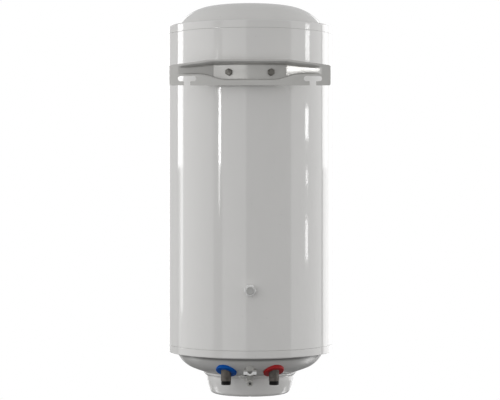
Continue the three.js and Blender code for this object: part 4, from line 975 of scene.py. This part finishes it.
# %% Strap
def curve_through(points, steps):
    """Catmull-Rom curve: between two points the place is a cubic in t whose end slopes are half
    the chord between the neighbours; the outer neighbours are mirrored ends."""
    p = np.array(points, float)
    p = np.concatenate([[2 * p[0] - p[1]], p, [2 * p[-1] - p[-2]]])
    t = np.linspace(0, 1, steps, endpoint=False)[:, None]
    spans = [
        0.5
        * (
            2 * p[i]
            + (p[i + 1] - p[i - 1]) * t
            + (2 * p[i - 1] - 5 * p[i] + 4 * p[i + 1] - p[i + 2]) * t**2
            + (3 * p[i] - p[i - 1] - 3 * p[i + 1] + p[i + 2]) * t**3
        )
        for i in range(1, len(p) - 2)
    ]
    return np.concatenate(spans + [p[-2:-1]])


def tube(name, line, radius, sides=32):
    """A round tube along a line: at each station a circle in the plane across the tangent, with
    its first axis kept as close to upright as it can be. Each end closes in a point."""
    tangent = np.gradient(line, axis=0)
    tangent /= np.linalg.norm(tangent, axis=1)[:, None]
    up = np.array([0.0, 0.0, 1.0]) - tangent * tangent[:, 2:3]
    up /= np.linalg.norm(up, axis=1)[:, None]
    side = np.cross(tangent, up)
    a = turns(sides)[:, :, None]
    grid = line[None] + radius * (np.cos(a) * up[None] + np.sin(a) * side[None])
    start, end = (np.broadcast_to(line[k], grid[:, :1].shape) for k in (0, -1))
    return mesh_from_grid(name, np.concatenate([start, grid, end], 1), sharp=60)


EYE_X, EYE_WIDE, EYE_TALL = -17.9, 1.15, 0.85  # the eye's middle, and how it is squashed
strap_high = extent("cable_strap")[1]
near_d, far_d = axis_y - (sleeve_y - 6.7), axis_y - (sleeve_y - 9.1)
band = softened(
    [(5.2, near_d, 0.3), (5.2, far_d, 0.3), (6.9, far_d, 0.7), (6.9, near_d, 0.7), (5.2, near_d)],
    steps=4,
)
strap = lying("cable_tie_collar", band, turn_z, 72, wrap_v=True, sharp=40)
eye_z = strap_high[2] - EYE_TALL * 4.6
arm = curve_through([
    (-5.4, sleeve_y - 7.4, turn_z + 3.9),
    (-10.2, sleeve_y - 7.2, turn_z + 6.0),
    (-14.6, sleeve_y - 6.8, turn_z + 10.2),
], 12)
join(strap, tube("arm", arm, 1.2))
section = softened(
    [(2.3, -1.4, 0.5), (2.3, 1.4, 0.5), (4.6, 1.4, 0.9), (4.6, -1.4, 0.9), (2.3, -1.4, 0)],
    steps=4,
)
across, along = section[None, :, 0], section[None, :, 1]
a = turns(72)
eye = np.stack([
    EYE_X + EYE_WIDE * across * np.cos(a),
    sleeve_y - 6.8 + along + 0 * a,
    eye_z + EYE_TALL * across * np.sin(a),
], -1)
join(strap, mesh_from_grid("eye", eye, wrap_v=True))
stand_in(crisp(strap, 35), "cable_strap")
print("strap faces:", len(strap.data.polygons))

# %% [markdown]
# ## Knob and lamp
# The knob's grip is fluted: at each angle the radius is the smaller of the plain disc and the edge
# of a round flute centred just outside it. A raised bar across its face shows where it points.

# %% Knob
FLUTE_ORBIT, FLUTE_RADIUS, FLUTES, KNOB_SIDES = 21.0, 2.0, 12, 480
BLEND = 3  # how tightly the soft minimum of two radii follows the smaller one
disc_low = knob_low[2] + 2.4
knob_profile = softened([
    (0, disc_low - 0.5),
    (5.4, disc_low - 0.5, 0.5),
    (6.4, disc_low + 0.5, 0.4),
    (15.5, disc_low + 0.5, 1.5),
    (17.2, disc_low - 1.2, 0.7),
    (19.2, disc_low - 1.2, 1.2),
    (20.0, disc_low + 1.0, 1.0),
    (20.0, knob_high[2], 0.4),
    (0, knob_high[2]),
], steps=6)
knob_profile[:, 1] = np.maximum(knob_profile[:, 1], knob_low[2])
points = turned_grid(knob_profile, KNOB_SIDES)
a = turns(KNOB_SIDES)
offset = np.mod(a + np.pi / FLUTES, 2 * np.pi / FLUTES) - np.pi / FLUTES
inner = FLUTE_RADIUS**2 - (FLUTE_ORBIT * np.sin(offset)) ** 2
edge = np.where(inner > 0, FLUTE_ORBIT * np.cos(offset) - np.sqrt(np.maximum(inner, 0)), 99)
plain = knob_profile[None, :, 0]
soft = -np.log(np.exp(-BLEND * np.minimum(edge, 30)) + np.exp(-BLEND * plain)) / BLEND
radius = np.where(plain > 16, np.minimum(soft, plain), plain)
points[..., 0] = knob_centre[0] + radius * np.cos(a)
points[..., 1] = knob_centre[1] + radius * np.sin(a)
knob = mesh_from_grid("dial_knob", points)
pointer = rounded_box(2.0, -17.0, 17.0, 1.8) + np.array(knob_centre)
join(knob, slab("pointer", pointer, knob_low[2], disc_low + 2, 0.8, 0))
cut(knob, plug(knob_low[2] + 2.7, knob_high[2] + 2, 3.3, knob_centre, 40))
stand_in(crisp(knob, 40), "thermostat_knob", body="knob")
low, high = extent("thermostat_spindle")
spindle = softened([(0, low[2]), (3.0, low[2], 0.4), (3.0, high[2], 0.6), (0, high[2])], steps=4)
spindle = turned("spindle", spindle, 64, knob_centre, closed=False)
stand_in(spindle, "thermostat_spindle", body="knob")
print("knob centre", [round(v, 1) for v in knob_centre])

# %% Lamp
lamp_face = lamp_high[1] - axis_y
lamp_back = lamp_low[1] - axis_y
lens = np.concatenate([
    [(0, lamp_back), (lamp_r, lamp_back), (lamp_r, lamp_face - 1.4)],
    arc(lamp_r - 0.9, lamp_face - 1.35, 0.9, 10, 70, 4),
    [(2.4, lamp_face - 0.22), (1.2, lamp_face - 0.05), (0, lamp_face)],
])
lens = lying("lamp_lens", lens, lamp_z, 72, np.pi, sharp=50)
stand_in(lens, "indicator_lamp")
print("lamp", round(lamp_r, 2), "mm radius")

# %% [markdown]
# ## Finishes
# Each finish is a Principled BSDF fed by a few shared effects. The effects are node groups, built
# once: fine grain, soft patches, drawn lines, specks and settled dust. Every one works from
# Object coordinates, which here are plain metres because no piece is moved or turned.

# %% Node helpers
def add(tree, kind, links=None, **settings):
    """A node with its settings; `links` maps an input's name or number to a socket or a value."""
    node = tree.nodes.new(kind)
    for key, value in settings.items():
        setattr(node, key, value)
    for key, value in (links or {}).items():
        socket = node.inputs[key]
        if isinstance(value, bpy.types.NodeSocket):
            tree.links.new(value, socket)
        else:
            socket.default_value = value
    return node


def maths(tree, operation, *values):
    """The result of a Math node on two or three numbers or sockets."""
    return add(tree, "ShaderNodeMath", dict(enumerate(values)), operation=operation).outputs[0]


def ramp(tree, value, start, stop, low=0.0, high=1.0, soft=True):
    """A Map Range node: low + (high - low) * t, where t = (value - start) / (stop - start) kept
    between 0 and 1. A soft ramp turns t into t * t * (3 - 2 t) first."""
    kind = "SMOOTHSTEP" if soft else "LINEAR"
    links = {"Value": value, "From Min": start, "From Max": stop, "To Min": low, "To Max": high}
    return add(tree, "ShaderNodeMapRange", links, interpolation_type=kind).outputs["Result"]


def noise(tree, place, scale, detail, roughness=0.5, distortion=0.0):
    """The value of a Noise Texture node, which swings around 0.5."""
    links = {"Vector": place, "Scale": scale, "Detail": detail}
    links.update({"Roughness": roughness, "Distortion": distortion})
    return add(tree, "ShaderNodeTexNoise", links).outputs["Fac"]


def blend(tree, share, first, second):
    """A colour mix: first * (1 - share) + second * share."""
    links = {0: share, 6: first, 7: second}
    return add(tree, "ShaderNodeMix", links, data_type="RGBA").outputs[2]


def height_of(tree, place):
    """The Z of a place, in metres."""
    return add(tree, "ShaderNodeSeparateXYZ", {0: place}).outputs["Z"]


def effect(name, inputs, *outputs):
    """An empty node group with a Vector input, the named inputs at their usual values and the
    named outputs. Gives the tree, its input sockets and its output node."""
    tree = bpy.data.node_groups.new(name, "ShaderNodeTree")
    tree.interface.new_socket(name="Vector", in_out="INPUT", socket_type="NodeSocketVector")
    for label, value in inputs.items():
        kind = "NodeSocketVector" if isinstance(value, tuple) else "NodeSocketFloat"
        socket = tree.interface.new_socket(name=label, in_out="INPUT", socket_type=kind)
        socket.default_value = value
    for label in outputs:
        tree.interface.new_socket(name=label, in_out="OUTPUT", socket_type="NodeSocketFloat")
    return tree, tree.nodes.new("NodeGroupInput").outputs, tree.nodes.new("NodeGroupOutput")


def use(tree, group, place, **inputs):
    """One of the shared effects inside a material, with its inputs set. Gives its outputs."""
    node = add(tree, "ShaderNodeGroup", node_tree=group)
    tree.links.new(place, node.inputs["Vector"])
    for label, value in inputs.items():
        node.inputs[label].default_value = value
    return node.outputs


# %% Fine grain
grain, given, end = effect("Fine grain", {"Scale": 400.0}, "Height")
wide = noise(grain, given["Vector"], given["Scale"], 3.0)
fine = noise(grain, given["Vector"], maths(grain, "MULTIPLY", given["Scale"], 3.7), 1.0)
grain.links.new(maths(grain, "MULTIPLY_ADD", fine, 0.35, wide), end.inputs["Height"])
print("effect made:", grain.name)

# %% Soft patches
patches, given, end = effect("Soft patches", {"Scale": 6.0, "Low": 0.4, "High": 0.65}, "Mask")
cloud = noise(patches, given["Vector"], given["Scale"], 5.0, 0.6, 0.4)
patches.links.new(ramp(patches, cloud, given["Low"], given["High"]), end.inputs["Mask"])
print("effect made:", patches.name)

# %% Drawn lines
lines, given, end = effect(
    "Drawn lines", {"Stretch": (1.0, 40.0, 40.0), "Scale": 60.0}, "Height", "Mask"
)
stretched = {0: given["Vector"], 1: given["Stretch"]}
drawn = add(lines, "ShaderNodeVectorMath", stretched, operation="MULTIPLY").outputs[0]
streak = noise(lines, drawn, given["Scale"], 4.0, 0.65)
lines.links.new(streak, end.inputs["Height"])
lines.links.new(ramp(lines, streak, 0.55, 0.75, soft=False), end.inputs["Mask"])
print("effect made:", lines.name)

# %% Specks
specks, given, end = effect("Specks", {"Scale": 300.0, "Size": 0.12, "Share": 0.15}, "Mask")
cells = add(specks, "ShaderNodeTexVoronoi", {"Vector": given["Vector"], "Scale": given["Scale"]})
near_cell = maths(specks, "LESS_THAN", cells.outputs["Distance"], given["Size"])
chance = add(specks, "ShaderNodeSeparateColor", {"Color": cells.outputs["Color"]}).outputs[0]
chosen = maths(specks, "LESS_THAN", chance, given["Share"])
specks.links.new(maths(specks, "MULTIPLY", near_cell, chosen), end.inputs["Mask"])
print("effect made:", specks.name)

# %% Settled dust
dust, given, end = effect("Settled dust", {"Amount": 0.3}, "Mask")
facing_up = height_of(dust, add(dust, "ShaderNodeNewGeometry").outputs["Normal"])
lumps = noise(dust, given["Vector"], 90.0, 6.0, 0.7)
thick = maths(dust, "MULTIPLY", ramp(dust, facing_up, 0.25, 1.0, soft=False), lumps)
dust.links.new(maths(dust, "MULTIPLY", thick, given["Amount"]), end.inputs["Mask"])
print("effects:", [tree.name for tree in bpy.data.node_groups])


# %% Colours
def linear(red, green, blue):
    """sRGB 0-255 to the linear values that shaders use: ((c + 0.055) / 1.055) ** 2.4."""
    c = np.array([red, green, blue]) / 255
    value = np.where(c <= 0.04045, c / 12.92, ((c + 0.055) / 1.055) ** 2.4)
    return (*[float(v) for v in value], 1.0)


def shaded(colour, share):
    """A linear colour darkened to a share of itself."""
    return tuple(c * share for c in colour[:3]) + (1.0,)


# %% A finish
DUST_GREY, DUST_ROUGH = linear(176, 172, 164), 0.5
SPECK_SHADE = 0.45
DIP_WAVE, EDGE, COAT_EDGE = 0.0012, 0.0004, 0.001  # metres
# The first is the share of colour left as painted shade below a rim band's top; the others are roughness.
PAINTED_UNDERSIDE_SHADE, THIN_ROUGH, THIN_COAT_ROUGH = 0.8, 0.3, 0.25
DRAWN_HEIGHT, DRAWN_ROUGH = 1.5, 0.12
finishes = {}


def finish(
    name, colour, rough, metal=0.0, coat=0.0, coat_rough=0.08, mirror=0.5,
    grain_scale=900.0, grain_depth=0.00002, patch=0.06, patch_scale=9.0, shade=0.9,
    speck=0.0, speck_scale=500.0, drawn=None, dust_amount=0.15, dipped=None, rim_shade=None,
):
    """One finish of an sRGB colour. The base colour is darkened towards `shade` in soft patches
    and towards SPECK_SHADE in specks, roughness is raised in the patches and under dust, and
    grain or drawn lines are bump. `dipped` gives a level and a colour: below that level the piece
    has been dipped in it. The last argument paints shade as under an overhanging rim: it gives a
    lower level, an upper level and how dark the painted shade between them is, darkest at the
    upper one; below the upper level the colour is darkened as painted shade too, and the base and
    coat are rougher."""
    material = bpy.data.materials.new(name)
    material.use_nodes = True
    tree = material.node_tree
    tree.nodes.clear()
    colour = linear(*colour)
    place = add(tree, "ShaderNodeTexCoord").outputs["Object"]
    blot = use(tree, patches, place, Scale=patch_scale)["Mask"]
    height = use(tree, grain, place, Scale=grain_scale)["Height"]
    settled = use(tree, dust, place, Amount=dust_amount)["Mask"]
    last = blend(tree, blot, colour, shaded(colour, shade))
    if speck:
        dots = use(tree, specks, place, Scale=speck_scale, Share=speck)["Mask"]
        last = blend(tree, dots, last, shaded(colour, SPECK_SHADE))
    if dipped:
        level, dip_colour = dipped
        wavy = maths(tree, "MULTIPLY_ADD", height, DIP_WAVE, height_of(tree, place))
        under = ramp(tree, wavy, level + DIP_WAVE, level + EDGE, soft=False)
        last = blend(tree, under, last, linear(*dip_colour))
    # Painted shade, as under an overhanging rim: darker below the upper level, darkest at it.
    if rim_shade:
        low, high, shade_share = rim_shade
        z = height_of(tree, place)
        inside = maths(tree, "LESS_THAN", z, high + EDGE)
        last = blend(tree, inside, last, shaded(colour, PAINTED_UNDERSIDE_SHADE))
        shade_band = maths(tree, "MULTIPLY", ramp(tree, z, low, high), inside)
        last = blend(tree, shade_band, last, shaded(colour, shade_share))
    last = blend(tree, settled, last, DUST_GREY)
    roughness = maths(tree, "MULTIPLY_ADD", blot, patch, rough)
    roughness = maths(tree, "MULTIPLY_ADD", settled, DUST_ROUGH, roughness)
    if rim_shade:
        beneath = maths(tree, "LESS_THAN", z, high + COAT_EDGE)
        roughness = maths(tree, "MULTIPLY_ADD", beneath, THIN_ROUGH, roughness)
        coat_rough = maths(tree, "MULTIPLY_ADD", beneath, THIN_COAT_ROUGH, coat_rough)
    if drawn:
        drag = use(tree, lines, place, Stretch=drawn)
        height = maths(tree, "MULTIPLY_ADD", drag["Height"], DRAWN_HEIGHT, height)
        roughness = maths(tree, "MULTIPLY_ADD", drag["Mask"], DRAWN_ROUGH, roughness)
    bump = add(tree, "ShaderNodeBump", {"Height": height, "Distance": grain_depth, "Strength": 1.0})
    sockets = {
        "Base Color": last,
        "Roughness": roughness,
        "Metallic": metal,
        "Normal": bump.outputs["Normal"],
        "Specular IOR Level": mirror,
        "Coat Weight": coat,
        "Coat Roughness": coat_rough,
    }
    skin = add(tree, "ShaderNodeBsdfPrincipled", sockets)
    out = add(tree, "ShaderNodeOutputMaterial", {"Surface": skin.outputs[0]})
    out.is_active_output = True
    finishes[name] = material


# %% Families of finishes
ACROSS_X, ACROSS_Z = (2.0, 30.0, 30.0), (30.0, 30.0, 2.0)
SPRAYED = dict(
    grain_scale=60.0, grain_depth=0.000004, patch=0.02, patch_scale=3.5, shade=0.975,
    speck=0.01, speck_scale=260.0,
)
TARNISHED = dict(grain_depth=0.00006, patch=0.2, patch_scale=90.0, shade=0.7)
PLATED = dict(grain_scale=1100.0, grain_depth=0.00004, patch=0.12, patch_scale=120.0)
MOULDED = dict(grain_scale=1300.0, dust_amount=0.05)
TINTED = dict(
    grain_scale=1200.0, grain_depth=0.00005, patch_scale=60.0, shade=0.85, dust_amount=0.0,
)
WIRE = dict(grain_scale=1200.0, patch_scale=80.0, shade=0.85)
DIPPED_HIGH, PIPE_BLACK = pipe_end * MM + 0.0078, (24, 23, 22)
# Painted shade under the bottom cap's rim: its levels in metres and the share of colour left
PAINTED_SHADE_UNDER_RIM = ((rim - 11.0) * MM, (rim - 3.6) * MM, 0.25)
print("pipes dipped up to", round(DIPPED_HIGH, 4), "m")

# %% Enamel and steel
finish(
    "casing_enamel", (229, 228, 226), 0.07, coat=0.5, coat_rough=0.015, dust_amount=0.1,
    **SPRAYED,
)
# The bottom cap: the casing's enamel a little darker, with painted shade under the rim.
finish(
    "cap_enamel", (226, 225, 223), 0.09, coat=0.45, coat_rough=0.02, dust_amount=0.05,
    rim_shade=PAINTED_SHADE_UNDER_RIM, **SPRAYED,
)
finish(
    "bracket_steel", (202, 201, 198), 0.16, metal=0.38, grain_scale=700.0, grain_depth=0.000006,
    patch=0.04, patch_scale=30.0, shade=0.96, speck=0.003, drawn=ACROSS_X, dust_amount=0.12,
)
finish("dark_steel", (122, 120, 115), 0.4, metal=0.7, dust_amount=0.05, **TARNISHED)
finish(
    "pipe_steel", (98, 93, 88), 0.42, metal=0.55, drawn=ACROSS_Z, dust_amount=0.0,
    dipped=(DIPPED_HIGH, PIPE_BLACK), **TARNISHED,
)
finish("zinc", (176, 176, 172), 0.34, metal=0.9, shade=0.85, **PLATED)
finish("dull_zinc", (118, 117, 113), 0.42, metal=0.8, shade=0.8, **PLATED)
finish(
    "stainless", (150, 148, 144), 0.35, metal=0.85, grain_depth=0.00004, patch=0.15,
    patch_scale=60.0, shade=0.8, drawn=ACROSS_Z,
)
finish(
    "copper", (184, 116, 78), 0.35, metal=0.9, patch=0.2, patch_scale=50.0, shade=0.6,
    drawn=ACROSS_Z,
)
finish("brass", (182, 150, 84), 0.32, metal=0.9, patch=0.15, patch_scale=90.0, shade=0.75)
finish(
    "magnesium", (170, 170, 166), 0.6, metal=0.6, grain_scale=500.0, grain_depth=0.0003,
    patch_scale=60.0, shade=0.7, speck=0.2,
)
print("enamel and metal finishes:", len(finishes))

# %% Plastic, rubber and foam
finish(
    "cover_plastic", (234, 233, 231), 0.2, coat=0.3, coat_rough=0.1, grain_scale=1500.0,
    shade=0.97, dust_amount=0.05,
)
finish(
    "white_plastic", (250, 250, 249), 0.25, grain_scale=1400.0, grain_depth=0.00003, shade=0.97,
    dust_amount=0.05,
)
finish(
    "light_plastic", (206, 205, 200), 0.4, grain_depth=0.00004, shade=0.95, patch_scale=40.0,
    **MOULDED,
)
finish(
    "shaded_plastic", (176, 175, 171), 0.4, grain_depth=0.00004, shade=0.92, patch_scale=40.0,
    **MOULDED,
)
finish(
    "black_plastic", (34, 34, 35), 0.42, grain_depth=0.00005, patch=0.15, shade=0.8,
    patch_scale=50.0, **MOULDED,
)
finish("blue_plastic", (0, 88, 178), 0.45, mirror=0.15, **TINTED)
finish("red_plastic", (178, 40, 44), 0.4, mirror=0.2, **TINTED)
finish(
    "amber_lens", (222, 92, 30), 0.16, coat=0.5, grain_scale=400.0, patch_scale=120.0, shade=0.8,
)
finish(
    "grey_rubber", (192, 192, 190), 0.6, grain_scale=1000.0, grain_depth=0.00006,
    patch_scale=80.0, shade=0.92, dust_amount=0.05,
)
finish("black_rubber", (38, 38, 38), 0.75, grain_depth=0.0001, patch_scale=80.0, shade=0.8)
finish(
    "foam", (226, 206, 150), 0.9, grain_scale=500.0, grain_depth=0.0006, patch_scale=25.0,
    shade=0.85, speck=0.3, speck_scale=350.0,
)
finish("wire_brown", (112, 66, 36), 0.48, **WIRE)
finish("wire_blue", (30, 84, 150), 0.48, **WIRE)
finish("wire_green", (120, 150, 44), 0.48, drawn=(4.0, 4.0, 30.0), **WIRE)
own_finish = {
    "cold_inlet_nipple": "pipe_steel",
    "hot_outlet_nipple": "pipe_steel",
    "bottom_cap_pressing": "cap_enamel",
    "entry_boss": "shaded_plastic",
    "elbow_sleeve": "shaded_plastic",
    "saddle_clamp": "white_plastic",
    "clamp_pan_screw_1": "dull_zinc",
    "clamp_pan_screw_2": "dull_zinc",
    "cover_pan_screw_1": "dull_zinc",
}
print("finishes made:", len(finishes))

# %% Put the finishes on
for name, node in frame["nodes"].items():
    node.data.materials.clear()
    node.data.materials.append(finishes[slot_of[name]])
for piece in bpy.context.scene.objects:
    if piece.type == "MESH" and "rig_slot" in piece:
        piece.data.materials.clear()
        piece.data.materials.append(finishes[own_finish.get(piece.name, piece["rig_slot"])])
print("pieces painted:", sum(1 for p in bpy.context.scene.objects if "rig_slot" in p))

# %% [markdown]
# ## Light and backdrop
# The heater stands in a white room that grows darker towards the ground. The camera sees plain
# white round it, while reflections and the soft light on it come from the room's own shades. Tall
# lamps at the sides draw the long highlights down the glossy casing. The room could be built of
# walls, but a world whose brightness follows the direction gives the same light with less work.

# %% World
world = bpy.data.worlds.new("white room")
bpy.context.scene.world = world
world.use_nodes = True
tree = world.node_tree
tree.nodes.clear()
path = add(tree, "ShaderNodeLightPath").outputs
up = height_of(tree, add(tree, "ShaderNodeTexCoord").outputs["Generated"])
walls = ramp(tree, up, -0.75, -0.18, 0.05, 0.39)
ceiling = ramp(tree, up, 0.35, 0.9, 0.0, 0.14)
reflected = ramp(tree, up, -0.45, -0.05, 0.12, 0.6)


def backdrop(tree, strength):
    """A white background of one strength, as a shader socket."""
    links = {"Color": (1, 1, 1, 1), "Strength": strength}
    return add(tree, "ShaderNodeBackground", links).outputs[0]


shares = {
    0: path["Is Glossy Ray"],
    1: backdrop(tree, maths(tree, "ADD", walls, ceiling)),
    2: backdrop(tree, reflected),
}
lit = add(tree, "ShaderNodeMixShader", shares).outputs[0]
plain = maths(tree, "MAXIMUM", path["Is Camera Ray"], path["Is Transmission Ray"])
seen = add(tree, "ShaderNodeMixShader", {0: plain, 1: lit, 2: backdrop(tree, 1.0)}).outputs[0]
add(tree, "ShaderNodeOutputWorld", {"Surface": seen})
print("world ready")

# %% Floor
FLOOR_HALF, FLOOR_LEVEL, FLOOR_STEPS = 1600, -1900.0, 9
FADE_FROM, FADE_TO = 0.35, 1.2  # metres from the upright line through the origin


def floor_grid(half, steps):
    """A flat square grid of half width `half` at the floor's level, in millimetres."""
    line = np.linspace(-half, half, steps)
    x, y = np.meshgrid(line, line, indexing="ij")
    return np.stack([x, y + axis_y, np.full_like(x, FLOOR_LEVEL)], -1)


floor = mesh_from_grid("studio_floor", floor_grid(FLOOR_HALF, FLOOR_STEPS), wrap_u=False)
paint = bpy.data.materials.new("floor paint")
paint.use_nodes = True
tree = paint.node_tree
tree.nodes.clear()
spot = add(tree, "ShaderNodeTexCoord").outputs["Object"]
flat = add(tree, "ShaderNodeVectorMath", {0: spot, 1: (1.0, 1.0, 0.0)}, operation="MULTIPLY")
away = add(tree, "ShaderNodeVectorMath", {0: flat.outputs[0]}, operation="LENGTH")
fade = ramp(tree, away.outputs["Value"], FADE_FROM, FADE_TO)
back = add(tree, "ShaderNodeNewGeometry").outputs["Backfacing"]
grit = noise(tree, spot, 140.0, 4.0)
shade = blend(tree, grit, (0.86, 0.86, 0.85, 1), (0.92, 0.92, 0.92, 1))
matt = add(tree, "ShaderNodeBsdfPrincipled", {"Base Color": shade, "Roughness": 0.75})
none = add(tree, "ShaderNodeBsdfTransparent")
shares = {0: maths(tree, "MAXIMUM", fade, back), 1: matt.outputs[0], 2: none.outputs[0]}
both = add(tree, "ShaderNodeMixShader", shares)
add(tree, "ShaderNodeOutputMaterial", {"Surface": both.outputs[0]})
floor.data.materials.append(paint)
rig.stage(floor)
print("floor at", floor.data.vertices[0].co.z, "m")

# %% Lamps
LAMP_DISTANCE = 2.2


def panel(name, bearings, heights, glow):
    """A flat lamp seen from the heater's axis between two bearings (degrees from the wall side
    towards +X) and between two heights (metres). A lamp whose surface has the brightness `glow`
    gives glow * pi * width * height watts."""
    half = np.radians(abs(bearings[1] - bearings[0]) / 2)
    wide, tall = 2 * LAMP_DISTANCE * np.tan(half), heights[1] - heights[0]
    light = bpy.data.lights.new(name, "AREA")
    light.shape = "RECTANGLE"
    light.size, light.size_y = wide, tall
    light.energy = glow * np.pi * wide * tall
    holder = bpy.data.objects.new(name, light)
    bpy.context.scene.collection.objects.link(holder)
    a = np.radians(sum(bearings) / 2)
    across, along = LAMP_DISTANCE * np.sin(a), LAMP_DISTANCE * np.cos(a)
    holder.location = (across, axis_y * MM - along, sum(heights) / 2)
    holder.rotation_euler = (np.pi / 2, 0, a)
    holder.visible_camera = False
    return holder


lamps = (
    ("front_wall", (-37, -5), (-1.2, 0.135), 0.72),
    ("front_wall_top", (-37, -5), (0.22, 1.0), 0.72),
    ("left_wall", (-50, -115), (-1.5, 1.3), 0.62),
    ("right_wall", (57, 115), (-1.4, 1.3), 0.77),
    ("left_window", (-103.5, -117), (-0.14, 0.55), 3.4),
    ("left_window_foot", (-103.5, -110), (-0.63, -0.14), 1.7),
    ("left_rear", (-150, -168), (-1.2, 0.9), 1.0),
    ("left_strip", (-39, -42.3), (-0.133, 0.125), 14.0),
    ("left_strip_foot", (-40.5, -42.5), (-0.28, -0.133), 4.5),
    ("right_strip_top", (80, 88), (0.218, 0.34), 5.0),
    ("right_strip_upper", (80, 86), (-0.045, 0.06), 7.0),
    ("right_strip_middle", (81, 85), (-0.197, -0.15), 5.0),
    ("right_strip_lower", (80, 85), (-0.451, -0.317), 5.0),
    ("right_rear", (118, 135), (-0.14, 0.9), 2.3),
    ("right_rear_foot", (120, 135), (-1.2, -0.14), 1.5),
    ("right_far_rear", (135, 150), (-1.2, 0.9), 1.2),
    ("right_edge", (150, 166), (-1.2, 0.9), 0.85),
    ("cup_left", (-110, -126), (-2.4, -1.6), 2.6),
    ("cup_right", (122, 140), (-2.4, -1.6), 3.6),
)
for lamp in lamps:
    panel(*lamp)
glint = panel("bracket_glint", (-54, -48), (0.15, 0.21), 16.0)
glint.location = (-1.575, -1.397, 0.181)  # placed six degrees off its bearing
print("lamps:", len(lamps) + 1)

# %% Measures for the record
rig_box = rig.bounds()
with open("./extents.json", "w") as out:
    json.dump({"cad_box": [list(map(float, c)) for c in cad_box], "box": [list(map(float, c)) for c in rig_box]}, out)
print("visual box:", [[round(c, 4) for c in corner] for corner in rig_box])
